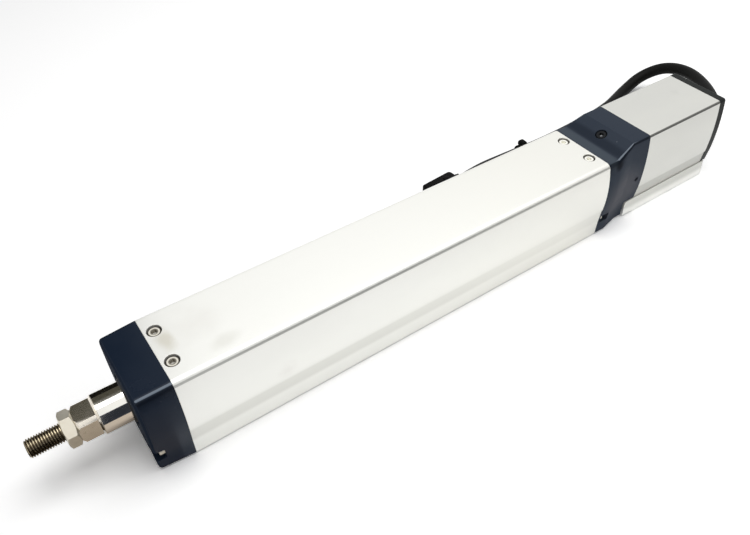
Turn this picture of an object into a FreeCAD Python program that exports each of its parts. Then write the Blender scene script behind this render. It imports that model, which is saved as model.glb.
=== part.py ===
import FreeCAD, Part
import math
import os

from FreeCAD import Vector

# Electric rod actuator. A motor turns a ball screw, and the screw's nut pushes a hollow rod out of the body.
# +X is the way the rod extends, +Z is up, and the flat base of the body lies on z = 0.
# x = 0 lies front_end behind the front end of the body, and y = 0 is its centre plane.
# Lengths are in millimetres.

# Body extrusion
front_end = 152.0
body_length = 300.0
body_width = 58.0
body_height = 57.3
body_side_radius = 84.0
top_edge_radius = 4.0
base_edge_radius = 1.2
skirt_height = 11.0
skirt_inset = 0.8
crease_height = 22.0
crease_step = 0.3
bulge_height = 30.5
base_wall = 12.3
top_wall = 7.0
side_wall = 7.5
cavity_radius = 6.0

# T-slots in the base, for square nuts
slot_spacing = 30.0
slot_neck_width = 5.4
slot_neck_depth = 2.6
slot_pocket_width = 9.0
slot_pocket_height = 4.6

# Front bracket
bracket_length = 19.7
bracket_draft = 0.9
bracket_edge_radius = 1.8
bracket_edge_steps = 3
spigot_length = 10.0
pocket_length = 5.6
pocket_corner = 1.2
lower_screw_height = 12.4
face_hole_spacing = 30.0
face_hole_radius = 2.1
face_hole_depth = 12.0

# Screws: M4 in the body and the front bracket, M3 in the housing and the motor section
large_screw_size = 4.0
small_screw_size = 3.0
front_screw_inset = 5.4
rear_screw_inset = 5.2
top_screw_spacing = 22.8
top_screw_rise = 13.2
front_lower_inset = 5.7
front_lower_length = 25.0
housing_lower_inset = 4.9
housing_lower_length = 10.0
head_radius_share = 0.875
head_chamfer_share = 0.1
socket_share = 0.75
socket_depth_share = 0.5
head_recess = 0.8
screw_point = 0.5
drill_extra = 1.0

# Rod and rod end
rod_diameter = 22.0
rod_bore = 14.0
rod_visible = 14.6
shoulder_length = 1.2
flats_diameter = 19.6
flats_across = 15.6
flats_length = 10.0
flats_chamfer = 1.5
thread_diameter = 10.0
thread_pitch = 1.25
thread_depth_share = 0.3248
thread_length = 17.2
thread_chamfer = 0.8
rod_plug_length = 18.0
lock_nut_across = 17.0
lock_nut_thickness = 6.2
lock_nut_edge = 0.3
lock_nut_turn = -7.0
bush_wall = 2.0
wiper_depth = 5.0
wiper_wall = 4.0
wiper_lip = 0.6

# Ball screw, nut and carrier
screw_diameter = 12.0
nut_diameter = 24.0
nut_length = 40.0
nut_flange_diameter = 36.0
nut_flange_thickness = 7.0
nut_flat_margin = 1.5
nut_screw_circle = 30.0
nut_screw_turn = 30.0
nut_screw_length = 10.0
carrier_length = 46.0
carrier_web = 3.0
carrier_bore_gap = 1.0
pad_length = 14.0
pad_height = 14.0
pad_thickness = 2.5
pad_inset = 4.0
bumper_thickness = 4.0
bumper_margin = 1.0
bumper_gap = 1.0
tip_margin = 6.0
tip_bush_length = 8.0
tip_journal_diameter = 9.0
tip_clip_thickness = 1.0
tip_groove_depth = 0.7
tip_end_length = 1.5
tip_chamfer = 0.5
tip_clip_gap = 1.0
rod_screw_recess = 1.0

# Fixed bearing of the screw
block_length = 28.0
block_shoulder = 5.0
block_bore_gap = 2.5
bearing_bore = 10.0
bearing_outside = 26.0
bearing_width = 8.0
bearing_count = 2
retainer_diameter = 29.0
retainer_length = 5.0
retainer_bore = 19.0
spanner_slot_width = 3.0
spanner_slot_depth = 1.5
screw_nut_diameter = 18.0
screw_nut_length = 6.0

# Coupling between the screw and the motor
coupling_journal = 8.0
hub_diameter = 22.0
hub_length = 11.0
spider_length = 6.0
spider_bore = 6.0
spider_ring = 10.0
jaw_count = 3
jaw_angle = 35.0
leg_angle = 24.0
jaw_gap = 0.5
hub_gap = 1.0
hub_screw_size = 3.0
hub_screw_recess = 0.5
spider_recess = 0.2

# Coupling housing
housing_length = 40.0
housing_band = 9.2
housing_slope = 14.8
chamber_radius = 2.5
housing_wall = 4.0
housing_bore = 24.0
housing_flange = 1.6
housing_pocket_length = 8.0
plug_position = 8.3
plug_length = 4.0
plug_mouth = 6.0
access_hole_radius = 1.7
access_hole_position = 5.8

# Motor section
motor_width = 50.8
motor_top_room = 10.7
motor_side_radius = 170.0
motor_edge_radius = 2.2
cover_length = 74.5
cover_wall = 2.2
boss_radius = 3.2
boss_inset = 6.9
boss_drop = 6.5
rail_height = 12.1
rail_step = 0.5
rail_flare = 1.4
rail_side_wall = 3.2
rail_floor = 3.0
rail_tail = 3.5
rail_end_wall = 3.0
rail_boss_radius = 3.6
rail_screw_spacing = 24.0
rail_screw_length = 16.0
ear_length = 10.0
ear_lip = 1.5
ear_radius = 3.0
end_cap_length = 7.0
end_cap_edge = 1.5
end_cap_screw_length = 12.0
end_cap_mouth = 5.0

# Motor
frame_room = 2.2
frame_chamfer = 4.0
front_flange_length = 10.0
stator_length = 36.0
rear_flange_length = 9.0
pilot_length = 2.0
motor_screw_share = 0.738
motor_screw_length = 10.0
motor_shaft_diameter = 5.0
shaft_hole = 7.0
motor_bearing_outside = 14.0
motor_bearing_width = 5.0
motor_bearing_inset = 1.0
stator_wall = 4.0
winding_depth = 5.5
rotor_end_gap = 2.0
air_gap = 0.4
winding_end_gap = 1.0

# Encoder
encoder_inset = 1.0
encoder_length = 13.0
encoder_wall = 1.5
encoder_board_thickness = 1.6
encoder_board_margin = 1.0
disc_diameter = 26.0
disc_thickness = 1.0
disc_hub_diameter = 9.0
disc_hub_length = 4.0
shaft_tail = 7.0

# Cable, its gland, its connector and the tie on it
cable_diameter = 9.4
cable_rise = 0.7
gland_flange_radius = 8.0
gland_flange_thickness = 2.0
gland_neck_radius = 5.6
gland_base_radius = 7.0
gland_tip_radius = 5.6
gland_length = 14.0
gland_inner_thickness = 1.5
gland_inner_lip = 1.0
connector_length = 28.0
connector_width = 18.0
connector_height = 14.5
connector_boot = 8.0
connector_edge = 1.2
boot_back_share = 0.62
boot_front_share = 0.9
connector_mouth_wall = 1.8
connector_mouth_depth = 9.0
latch_length = 16.0
latch_width = 7.0
latch_height = 1.8
latch_ramp = 1.4
tie_place = 99.5
tie_width = 4.5
tie_thickness = 1.2
tie_head_length = 6.5
tie_head_width = 5.5
tie_head_height = 5.0
tie_tail_length = 6.0

# Clearances
race_gap = 1.2
fit_gap = 0.02
run_gap = 0.05
slide_gap = 0.05
free_gap = 0.4
screw_gap = 0.25
stop_gap = 0.5
seam_gap = 0.1

# Widths and heights that follow from the sizes above
cavity_width = body_width - 2 * side_wall
cavity_height = body_height - base_wall - top_wall
axis_height = base_wall + cavity_height / 2
top_screw_length = body_height - large_screw_size - head_recess - axis_height - top_screw_rise
front_lower_spread = body_width - 2 * front_lower_inset
housing_lower_spread = body_width - 2 * housing_lower_inset
frame_size = motor_width - 2 * cover_wall - 2 * frame_room
motor_height = axis_height + frame_size / 2 + motor_top_room
motor_screw_spacing = motor_screw_share * frame_size
chamber_size = motor_screw_spacing + 2 * (head_radius_share * small_screw_size + screw_gap)
boss_side = motor_width / 2 - boss_inset
rail_top_width = motor_width - 2 * rail_step
rail_base_width = rail_top_width + 2 * rail_flare
rail_inside = rail_top_width - 2 * rail_side_wall
stator_bore = frame_size - 2 * stator_wall
rotor_diameter = stator_bore - 2 * winding_depth
encoder_size = frame_size - 2 * encoder_inset

# Places along the axis that follow from the sizes above
rear_end = front_end - body_length
bracket_front = front_end + bracket_length
spigot_rear = front_end - spigot_length
front_bumper_face = spigot_rear - bumper_thickness
block_front = rear_end + block_length
rear_bumper_face = block_front + bumper_thickness
nut_rear = rear_bumper_face + stop_gap
nut_front = nut_rear + nut_length
carrier_rear = nut_rear + nut_flange_thickness
carrier_front = carrier_rear + carrier_length
stroke = front_bumper_face - stop_gap - carrier_front
rod_rear = nut_front + stop_gap + carrier_web
rod_shoulder = bracket_front + rod_visible
flats_rear = rod_shoulder + shoulder_length
flats_front = flats_rear + flats_length
lock_nut_front = flats_front + lock_nut_thickness
rod_tip = lock_nut_front + thread_length
screw_tip = nut_front + stroke + tip_margin
bearing_front = block_front - block_shoulder
bearing_rear = bearing_front - bearing_count * bearing_width
screw_nut_rear = bearing_rear - screw_nut_length
housing_rear = rear_end - housing_length
chamber_rear = housing_rear + housing_wall
motor_hub_rear = housing_rear + pilot_length + hub_gap
spider_rear = motor_hub_rear + hub_length
spider_front = spider_rear + spider_length
screw_hub_front = spider_front + hub_length
screw_hub_middle = spider_front + hub_length / 2
access_hole_place = housing_rear + access_hole_position
cover_rear = housing_rear - cover_length
end_cap_rear = cover_rear - end_cap_length
ear_front = housing_rear + ear_length
rail_rear = cover_rear - rail_tail
stator_front = housing_rear - front_flange_length
stator_rear = stator_front - stator_length
motor_rear = stator_rear - rear_flange_length
encoder_rear = motor_rear - encoder_length
shaft_rear = motor_rear - shaft_tail

rod_radius = rod_diameter / 2
screw_radius = screw_diameter / 2
thread_radius = thread_diameter / 2
thread_pitch_radius = thread_radius - thread_depth_share * thread_pitch

# The cable's route: out of the end cap, round in a loop that sinks to the floor, then along the body.
# A point is so far behind the end cap, so far out to the far side, and so high.
cable_exit = Vector(end_cap_rear - gland_flange_thickness - gland_length, 0.0, axis_height + cable_rise)
cable_loop = [
    (34.5, 0.0, cable_exit.z),
    (53.2, 19.9, cable_exit.z - 0.6),
    (69.3, 48.0, 29.0),
    (69.8, 72.0, 23.7),
    (57.1, 85.7, 12.8),
    (34.7, 84.0, 5.4),
    (3.0, 73.6, 4.9),
    (-37.5, 71.5, 4.9),
    (-79.5, 72.5, 6.2),
    (-119.5, 71.0, 6.4),
    (-148.5, 65.8, connector_height / 2),
    (-169.5, 64.0, connector_height / 2),
]
cable_route = [cable_exit] + [Vector(end_cap_rear - back, -out, height) for back, out, height in cable_loop]
connector_back = cable_route[-1]

body_section = {
    "half_width": body_width / 2,
    "height": body_height,
    "side_radius": body_side_radius,
    "edge_radius": top_edge_radius,
}
motor_section = {
    "half_width": motor_width / 2,
    "height": motor_height,
    "side_radius": motor_side_radius,
    "edge_radius": motor_edge_radius,
}

along = Vector(1, 0, 0)
upward = Vector(0, 0, 1)


# Shapes that several pieces share

def cylinder(x0, x1, radius, y=0.0, z=axis_height):
    return Part.makeCylinder(radius, x1 - x0, Vector(x0, y, z), along)


def ring(x0, x1, outer, inner, y=0.0, z=axis_height):
    return cylinder(x0, x1, outer, y, z).cut(cylinder(x0, x1, inner, y, z))


def box(x0, x1, y0, y1, z0, z1):
    return Part.makeBox(x1 - x0, y1 - y0, z1 - z0, Vector(x0, y0, z0))


def turned(outline, y=0.0, z=axis_height):
    points = [Vector(x, y, z + radius) for x, radius in outline]
    face = Part.Face(Part.makePolygon(points + points[:1]))
    return face.revolve(Vector(0, y, z), along, 360)


def rounded_bar(x0, x1, width, height, radius, z=axis_height):
    bar = box(x0, x1, -width / 2, width / 2, z - height / 2, z + height / 2)
    return bar.makeFillet(radius, edges_along_x(bar))


def chamfered_bar(x0, x1, size, chamfer):
    bar = box(x0, x1, -size / 2, size / 2, axis_height - size / 2, axis_height + size / 2)
    return bar.makeChamfer(chamfer, edges_along_x(bar))


def edges_along_x(solid):
    return [edge for edge in solid.Edges if abs(edge.tangentAt(edge.FirstParameter).x) > 0.999]


def edges_on_plane(solid, x):
    def off_plane(edge):
        return abs(edge.BoundBox.XMin - x) + abs(edge.BoundBox.XMax - x)

    return [edge for edge in solid.Edges if off_plane(edge) < 1e-4]


def hexagon(length, across):
    corner = across / math.sqrt(3)
    points = [Vector(corner * math.cos(math.radians(60 * i)), corner * math.sin(math.radians(60 * i)), 0)
              for i in range(7)]
    return Part.Face(Part.makePolygon(points)).extrude(Vector(0, 0, length))


def placed(shape, point, outward):
    moved = shape.copy()
    moved.Placement = FreeCAD.Placement(point, FreeCAD.Rotation(upward, outward))
    return moved


def joined(shapes):
    return shapes[0].fuse(shapes[1:]).removeSplitter()


def group(shapes):
    return Part.makeCompound(shapes)


def socket_screw(size, length, seat, outward):
    head_radius = head_radius_share * size
    head = Part.makeCylinder(head_radius, size)
    rim = [edge for edge in head.Edges if edge.BoundBox.ZMin > size / 2]
    head = head.makeChamfer(head_chamfer_share * size, rim)
    shank = Part.makeCylinder(size / 2, length, Vector(0, 0, -length))
    point = [edge for edge in shank.Edges if edge.BoundBox.ZMax < -length / 2]
    shank = shank.makeChamfer(screw_point, point)
    socket = hexagon(size, socket_share * size)
    socket.translate(Vector(0, 0, size - socket_depth_share * size))
    return placed(head.fuse(shank).removeSplitter().cut(socket), seat, outward)


def screw_hole(size, length, seat, outward, head_depth, gap):
    shank = Part.makeCylinder(size / 2 + gap, length, Vector(0, 0, -length))
    counterbore = Part.makeCylinder(head_radius_share * size + 2 * screw_gap, head_depth)
    return placed(shank.fuse(counterbore), seat, outward)


def countersunk_screw(size, length, mouth, inward):
    head = Part.makeCone(size, size / 2, size / 2)
    shank = Part.makeCylinder(size / 2, length)
    socket = hexagon(size / 3, socket_share * size)
    return placed(head.fuse(shank).removeSplitter().cut(socket), mouth, inward)


def countersunk_hole(size, length, mouth, inward, gap):
    head = Part.makeCone(size + gap, size / 2 + gap, size / 2)
    shank = Part.makeCylinder(size / 2 + gap, length)
    return placed(head.fuse(shank), mouth, inward)


def set_screw(size, start, end):
    length = start.distanceToPoint(end)
    body = Part.makeCylinder(size / 2, length)
    socket = hexagon(size / 2, size / 2)
    socket.translate(Vector(0, 0, length - size / 2))
    return placed(body.cut(socket), start, end - start)


def sector(x0, x1, inner, outer, middle, angle):
    def at(radius, degrees):
        turn = math.radians(degrees)
        return Vector(x0, radius * math.cos(turn), axis_height + radius * math.sin(turn))

    low = middle - angle / 2
    high = middle + angle / 2
    edges = [
        Part.LineSegment(at(inner, low), at(outer, low)).toShape(),
        Part.Arc(at(outer, low), at(outer, middle), at(outer, high)).toShape(),
        Part.LineSegment(at(outer, high), at(inner, high)).toShape(),
        Part.Arc(at(inner, high), at(inner, middle), at(inner, low)).toShape(),
    ]
    return Part.Face(Part.Wire(edges)).extrude(Vector(x1 - x0, 0, 0))


def spanner_slots(x0, x1, radius):
    half = spanner_slot_width / 2
    reach = radius - spanner_slot_depth
    slots = []
    for turn in range(4):
        slot = box(x0, x1, reach, 2 * radius, axis_height - half, axis_height + half)
        slot.rotate(Vector(0, 0, axis_height), along, 90 * turn)
        slots.append(slot)
    return slots


# The loaf section: flat base, upright skirt, lower sides that lean out, bulged upper sides, rounded flat top

def section_wire(x, section, inset=0.0, step=0.0):
    half_width = section["half_width"] - inset
    top = section["height"] - inset
    side_radius = section["side_radius"] - inset
    middle = half_width - side_radius
    edge_radius = section["edge_radius"]
    crown = top - edge_radius
    corner_y = middle + math.sqrt((side_radius - edge_radius) ** 2 - (crown - bulge_height) ** 2)
    grow = side_radius / (side_radius - edge_radius)
    meet_y = middle + (corner_y - middle) * grow
    meet_z = bulge_height + (crown - bulge_height) * grow
    crease_y = middle + math.sqrt(side_radius ** 2 - (crease_height - bulge_height) ** 2)
    lower_y = crease_y - step
    foot_y = crease_y - crease_step - skirt_inset

    def bulge(z):
        return middle + math.sqrt(side_radius ** 2 - (z - bulge_height) ** 2)

    base_y = foot_y - base_edge_radius
    diagonal = math.sqrt(0.5)
    edges = []
    for side in (1, -1):
        def at(y, z):
            return Vector(x, side * y, z)

        edges.append(Part.Arc(
            at(base_y, inset),
            at(base_y + base_edge_radius * diagonal, inset + base_edge_radius * (1 - diagonal)),
            at(foot_y, inset + base_edge_radius)).toShape())
        edges.append(Part.LineSegment(
            at(foot_y, inset + base_edge_radius),
            at(foot_y, skirt_height)).toShape())
        edges.append(Part.LineSegment(
            at(foot_y, skirt_height),
            at(lower_y, crease_height - step)).toShape())
        if step > 0:
            edges.append(Part.LineSegment(
                at(lower_y, crease_height - step),
                at(crease_y, crease_height)).toShape())
        edges.append(Part.Arc(
            at(crease_y, crease_height),
            at(bulge((crease_height + meet_z) / 2), (crease_height + meet_z) / 2),
            at(meet_y, meet_z)).toShape())
        lift = math.atan2(meet_z - crown, meet_y - corner_y)
        mid_turn = (lift + math.pi / 2) / 2
        edges.append(Part.Arc(
            at(meet_y, meet_z),
            at(corner_y + edge_radius * math.cos(mid_turn), crown + edge_radius * math.sin(mid_turn)),
            at(corner_y, top)).toShape())
        if side == 1:
            edges.append(Part.LineSegment(at(corner_y, top), Vector(x, -corner_y, top)).toShape())
    edges.append(Part.LineSegment(Vector(x, -base_y, inset), Vector(x, base_y, inset)).toShape())
    return Part.Wire(Part.__sortEdges__(edges))


def section_bar(x0, x1, section, inset=0.0, step=0.0):
    return Part.Face(section_wire(x0, section, inset, step)).extrude(Vector(x1 - x0, 0, 0))


# Where the screws sit

def top_screw_seats(x):
    z = body_height - large_screw_size - head_recess
    return [Vector(x, side * top_screw_spacing / 2, z) for side in (1, -1)]


def lower_screw_seats(x, spread):
    return [Vector(x, side * spread / 2, lower_screw_height) for side in (1, -1)]


def side_pocket(x0, x1, seat, size, corner_x):
    side = math.copysign(1.0, seat.y)
    reach = head_radius_share * size + 2 * screw_gap
    inner = seat.y - side * reach
    outer = side * body_width
    pocket = box(x0, x1, min(inner, outer), max(inner, outer), seat.z - reach, seat.z + reach)
    corners = [edge for edge in edges_on_plane(pocket, corner_x)
               if edge.BoundBox.YMax - edge.BoundBox.YMin > reach]
    return pocket.makeFillet(pocket_corner, corners)


front_top_seats = top_screw_seats(front_end - front_screw_inset)
rear_top_seats = top_screw_seats(rear_end + rear_screw_inset)
front_lower_seats = lower_screw_seats(bracket_front - pocket_length, front_lower_spread)
housing_lower_seats = lower_screw_seats(rear_end - housing_flange, housing_lower_spread)


# The T-slots run on through the front bracket, so that nuts slide in from the front

def base_slots(x0, x1):
    pocket_top = slot_neck_depth + slot_pocket_height
    slots = []
    for middle in (-slot_spacing / 2, slot_spacing / 2):
        slots.append(box(x0, x1, middle - slot_neck_width / 2, middle + slot_neck_width / 2,
                         0.0, slot_neck_depth))
        slots.append(box(x0, x1, middle - slot_pocket_width / 2, middle + slot_pocket_width / 2,
                         slot_neck_depth, pocket_top))
    return slots


# Fixed pieces of the body

def make_body_extrusion():
    body = section_bar(rear_end, front_end, body_section, 0.0, crease_step)
    cuts = [rounded_bar(rear_end, front_end, cavity_width, cavity_height, cavity_radius)]
    cuts.extend(base_slots(rear_end, front_end))
    for seat in front_top_seats + rear_top_seats:
        cuts.append(screw_hole(large_screw_size, top_screw_length, seat, upward,
                               2 * large_screw_size, screw_gap))
    for seat in front_lower_seats:
        cuts.append(screw_hole(large_screw_size, front_lower_length + drill_extra, seat, along,
                               large_screw_size, fit_gap))
    for seat in housing_lower_seats:
        cuts.append(screw_hole(small_screw_size, housing_lower_length + drill_extra, seat, -along,
                               small_screw_size, fit_gap))
    return body.cut(cuts)


def make_front_bracket():
    wires = [section_wire(front_end, body_section)]
    for step in range(bracket_edge_steps + 1):
        turn = math.pi / 2 * step / bracket_edge_steps
        back = bracket_edge_radius * (1 - math.sin(turn))
        inset = bracket_draft + bracket_edge_radius * (1 - math.cos(turn))
        wires.append(section_wire(bracket_front - back, body_section, inset))
    casting = Part.makeLoft(wires, True, True)
    spigot = rounded_bar(spigot_rear, front_end, cavity_width - 2 * slide_gap, cavity_height - 2 * slide_gap,
                         cavity_radius)
    bush_seat = rod_radius + run_gap + bush_wall + fit_gap
    cuts = [cylinder(spigot_rear, bracket_front, bush_seat),
            cylinder(bracket_front - wiper_depth, bracket_front, rod_radius + wiper_wall)]
    cuts.extend(base_slots(front_end, bracket_front))
    for seat in front_top_seats:
        cuts.append(screw_hole(large_screw_size, top_screw_length + drill_extra, seat, upward,
                               large_screw_size, fit_gap))
    for seat in front_lower_seats:
        cuts.append(side_pocket(seat.x, bracket_front + pocket_length, seat, large_screw_size, seat.x))
        cuts.append(screw_hole(large_screw_size, front_lower_length, seat, along, screw_gap, screw_gap))
    half = face_hole_spacing / 2
    for y in (-half, half):
        for z in (axis_height - half, axis_height + half):
            cuts.append(cylinder(bracket_front - face_hole_depth, bracket_front, face_hole_radius, y, z))
    return joined([casting, spigot]).cut(cuts)


def make_rod_bush():
    inner = rod_radius + run_gap
    return ring(spigot_rear, bracket_front - wiper_depth, inner + bush_wall, inner)


def make_rod_wiper():
    rear = bracket_front - wiper_depth
    outer = rod_radius + wiper_wall - fit_gap
    inner = rod_radius + run_gap
    groove = inner + wiper_wall / 3
    return turned([(rear, outer), (bracket_front - wiper_lip, outer), (bracket_front - wiper_lip, groove),
                   (bracket_front + wiper_lip, inner + wiper_lip), (bracket_front + wiper_lip, inner),
                   (rear + wiper_depth / 2, inner), (rear + wiper_depth / 2, groove), (rear, groove)])


def make_bumper(x):
    plate = rounded_bar(x, x + bumper_thickness, cavity_width - 2 * bumper_margin,
                        cavity_height - 2 * bumper_margin, cavity_radius - bumper_margin)
    return plate.cut(cylinder(x, x + bumper_thickness, rod_radius + bumper_gap))


def make_bearing_block():
    block = rounded_bar(rear_end, block_front, cavity_width - 2 * slide_gap, cavity_height - 2 * slide_gap,
                        cavity_radius)
    cuts = [cylinder(rear_end, block_front, screw_radius + block_bore_gap),
            cylinder(rear_end, bearing_front, bearing_outside / 2 + fit_gap),
            cylinder(rear_end, bearing_rear, retainer_diameter / 2 + fit_gap)]
    for seat in rear_top_seats:
        cuts.append(screw_hole(large_screw_size, top_screw_length + drill_extra, seat, upward,
                               large_screw_size, fit_gap))
    return block.cut(cuts)


def make_bearing_retainer():
    rear = bearing_rear - retainer_length
    retainer = ring(rear, bearing_rear, retainer_diameter / 2, retainer_bore / 2)
    return retainer.cut(spanner_slots(rear, rear + spanner_slot_depth, retainer_diameter / 2))


# Ball bearings are shielded, so their balls can't be seen: an inner and an outer ring with a gap between them

def inner_rings(rears, bore, outside, width):
    race = (bore + outside) / 4 - race_gap / 2
    return group([ring(rear, rear + width, race, bore / 2 + fit_gap) for rear in rears])


def outer_rings(rears, bore, outside, width):
    race = (bore + outside) / 4 + race_gap / 2
    return group([ring(rear, rear + width, outside / 2, race) for rear in rears])


# The coupling housing blends the body's section into the motor's section

def make_coupling_housing():
    band_rear = rear_end - housing_band
    slope_rear = band_rear - housing_slope
    wires = [section_wire(rear_end, body_section), section_wire(band_rear, body_section),
             section_wire(slope_rear, motor_section), section_wire(housing_rear, motor_section)]
    casting = Part.makeLoft(wires, True, True)
    cuts = [rounded_bar(chamber_rear, rear_end, chamber_size, chamber_size, chamber_radius),
            cylinder(housing_rear, chamber_rear, housing_bore / 2)]
    half = motor_screw_spacing / 2
    for y in (-half, half):
        for z in (-half, half):
            cuts.append(cylinder(housing_rear, chamber_rear, small_screw_size / 2 + screw_gap,
                                 y, axis_height + z))
    for seat in housing_lower_seats:
        rear = seat.x - housing_pocket_length
        cuts.append(side_pocket(rear, seat.x, seat, small_screw_size, rear))
        cuts.append(screw_hole(small_screw_size, housing_lower_length, seat, -along, screw_gap, screw_gap))
    cuts.append(screw_hole(large_screw_size, 2 * motor_height, plug_seat(), plug_outward(), plug_mouth,
                           fit_gap).common(box(housing_rear, rear_end, -motor_width, motor_width,
                                               axis_height, 2 * motor_height)))
    access_start = Vector(access_hole_place, 0, axis_height)
    cuts.append(Part.makeCylinder(access_hole_radius, motor_width, access_start, Vector(0, 1, 0)))
    notch = box(housing_rear, ear_front + seam_gap, rail_inside / 2 - seam_gap, motor_width,
                ear_lip - seam_gap, rail_height + seam_gap)
    cuts.extend([notch, notch.mirror(Vector(0, 0, 0), Vector(0, 1, 0))])
    return casting.cut(cuts)


def plug_outward():
    rise = motor_height - body_height
    return Vector(rise, 0, housing_slope)


def plug_seat():
    outward = plug_outward().normalize()
    share = plug_position / housing_slope
    surface = Vector(rear_end - housing_band - plug_position, 0,
                     body_height + share * (motor_height - body_height))
    return surface - outward * (large_screw_size + head_recess / 2)


def rail_screw_mouths():
    x = (motor_rear + stator_rear) / 2
    return [Vector(x, side * rail_screw_spacing / 2, 0.0) for side in (1, -1)]


# Motor section covers

def make_motor_cover():
    shell = section_bar(cover_rear, housing_rear, motor_section, 0.0, crease_step)
    hollow = section_bar(cover_rear, housing_rear, motor_section, cover_wall)
    shell = shell.cut(hollow)
    bosses = [cylinder(cover_rear, housing_rear, boss_radius, side * boss_side, boss_height())
              for side in (1, -1)]
    outline = section_bar(cover_rear, housing_rear, motor_section, cover_wall / 2)
    shell = joined([shell] + [boss.common(outline) for boss in bosses])
    cuts = [box(cover_rear, housing_rear, -motor_width, motor_width, 0.0, rail_height + seam_gap)]
    for seat in end_cap_seats():
        cuts.append(screw_hole(small_screw_size, end_cap_screw_length + drill_extra, seat, -along, screw_gap,
                               fit_gap))
    return shell.cut(cuts)


def boss_height():
    return motor_height - boss_drop


def end_cap_seats():
    x = end_cap_rear + small_screw_size + head_recess / 2
    return [Vector(x, side * boss_side, boss_height()) for side in (1, -1)]


def make_motor_base_rail():
    half_base = rail_base_width / 2
    half_top = rail_top_width / 2
    half_inside = rail_inside / 2
    outline = [Vector(rail_rear, -half_base, 0), Vector(rail_rear, half_base, 0),
               Vector(rail_rear, half_top, rail_height), Vector(rail_rear, -half_top, rail_height)]
    bar = Part.Face(Part.makePolygon(outline + outline[:1])).extrude(Vector(ear_front - rail_rear, 0, 0))
    bar = bar.makeFillet(base_edge_radius, [edge for edge in edges_along_x(bar)
                                            if edge.BoundBox.ZMax < rail_floor])
    bar = bar.makeFillet(ear_radius, [edge for edge in edges_on_plane(bar, ear_front)
                                      if edge.BoundBox.ZMin > rail_floor])
    inside_rear = rail_rear + rail_end_wall
    rail = bar.cut([box(inside_rear, ear_front, -half_inside, half_inside, rail_floor, rail_height),
                    box(housing_rear, ear_front, -half_inside, half_inside, 0.0, rail_height),
                    box(housing_rear, ear_front, -rail_base_width, rail_base_width, 0.0, ear_lip)])
    motor_bottom = axis_height - frame_size / 2
    bosses = [Part.makeCylinder(rail_boss_radius, motor_bottom, mouth) for mouth in rail_screw_mouths()]
    holes = [countersunk_hole(small_screw_size, motor_bottom, mouth, upward, screw_gap)
             for mouth in rail_screw_mouths()]
    return joined([rail] + bosses).cut(holes)


def make_motor_end_cap():
    cap = section_bar(end_cap_rear, cover_rear, motor_section)
    cap = cap.makeFillet(end_cap_edge, edges_on_plane(cap, end_cap_rear))
    cuts = [box(end_cap_rear, cover_rear, -motor_width, motor_width, 0.0, rail_height + 2 * seam_gap),
            cylinder(end_cap_rear, cover_rear, gland_neck_radius + fit_gap, cable_exit.y, cable_exit.z)]
    for seat in end_cap_seats():
        cuts.append(screw_hole(small_screw_size, end_cap_length, seat, -along, end_cap_mouth, screw_gap))
    return cap.cut(cuts)


# Motor and encoder

def make_motor_front_flange():
    rear = housing_rear - front_flange_length
    flange = chamfered_bar(rear, housing_rear, frame_size, frame_chamfer)
    pilot = cylinder(housing_rear, housing_rear + pilot_length, housing_bore / 2 - run_gap)
    bearing_rear_face = housing_rear - motor_bearing_inset - motor_bearing_width
    cuts = [cylinder(rear, housing_rear + pilot_length, shaft_hole / 2),
            cylinder(rear, bearing_rear_face + motor_bearing_width, motor_bearing_outside / 2 + fit_gap)]
    half = motor_screw_spacing / 2
    depth = motor_screw_length - housing_wall + drill_extra
    for y in (-half, half):
        for z in (-half, half):
            cuts.append(cylinder(housing_rear - depth, housing_rear, small_screw_size / 2 + fit_gap, y,
                                 axis_height + z))
    return joined([flange, pilot]).cut(cuts)


def make_motor_stator():
    core = chamfered_bar(stator_rear, stator_front, frame_size, frame_chamfer)
    return core.cut(cylinder(stator_rear, stator_front, stator_bore / 2))


def make_motor_windings():
    return ring(stator_rear + winding_end_gap, stator_front - winding_end_gap, stator_bore / 2 - fit_gap,
                rotor_diameter / 2 + air_gap)


def make_motor_rear_flange():
    flange = chamfered_bar(motor_rear, stator_rear, frame_size, frame_chamfer)
    bearing_rear_face = stator_rear - motor_bearing_inset - motor_bearing_width
    cuts = [cylinder(motor_rear, stator_rear, shaft_hole / 2),
            cylinder(bearing_rear_face, stator_rear, motor_bearing_outside / 2 + fit_gap)]
    for mouth in rail_screw_mouths():
        cuts.append(Part.makeCylinder(small_screw_size / 2 + fit_gap, rail_screw_length + drill_extra, mouth))
    return flange.cut(cuts)


def make_motor_screws():
    half = motor_screw_spacing / 2
    return group([socket_screw(small_screw_size, motor_screw_length,
                               Vector(chamber_rear, y, axis_height + z), along)
                  for y in (-half, half) for z in (-half, half)])


def make_encoder_cover():
    cup = chamfered_bar(encoder_rear, motor_rear, encoder_size, encoder_wall)
    inside = encoder_size - 2 * encoder_wall
    return cup.cut(chamfered_bar(encoder_rear + encoder_wall, motor_rear, inside, encoder_wall))


def make_encoder_board():
    side = encoder_size - 2 * encoder_wall - 2 * encoder_board_margin
    rear = encoder_rear + encoder_wall
    return chamfered_bar(rear, rear + encoder_board_thickness, side, encoder_wall)


def make_encoder_disc():
    front = shaft_rear + disc_hub_length
    disc = ring(front - disc_thickness, front, disc_diameter / 2, motor_shaft_diameter / 2 + fit_gap)
    hub = ring(shaft_rear, front, disc_hub_diameter / 2, motor_shaft_diameter / 2 + fit_gap)
    return joined([disc, hub])


# Rod and everything that travels with it

def make_rod_tube():
    tube = ring(rod_rear, rod_shoulder, rod_radius, rod_bore / 2)
    return tube.cut([placed(Part.makeCylinder(hub_screw_size / 2 + fit_gap, 2 * rod_radius), start, outward)
                     for start, outward in rod_set_screw_starts()])


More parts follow.
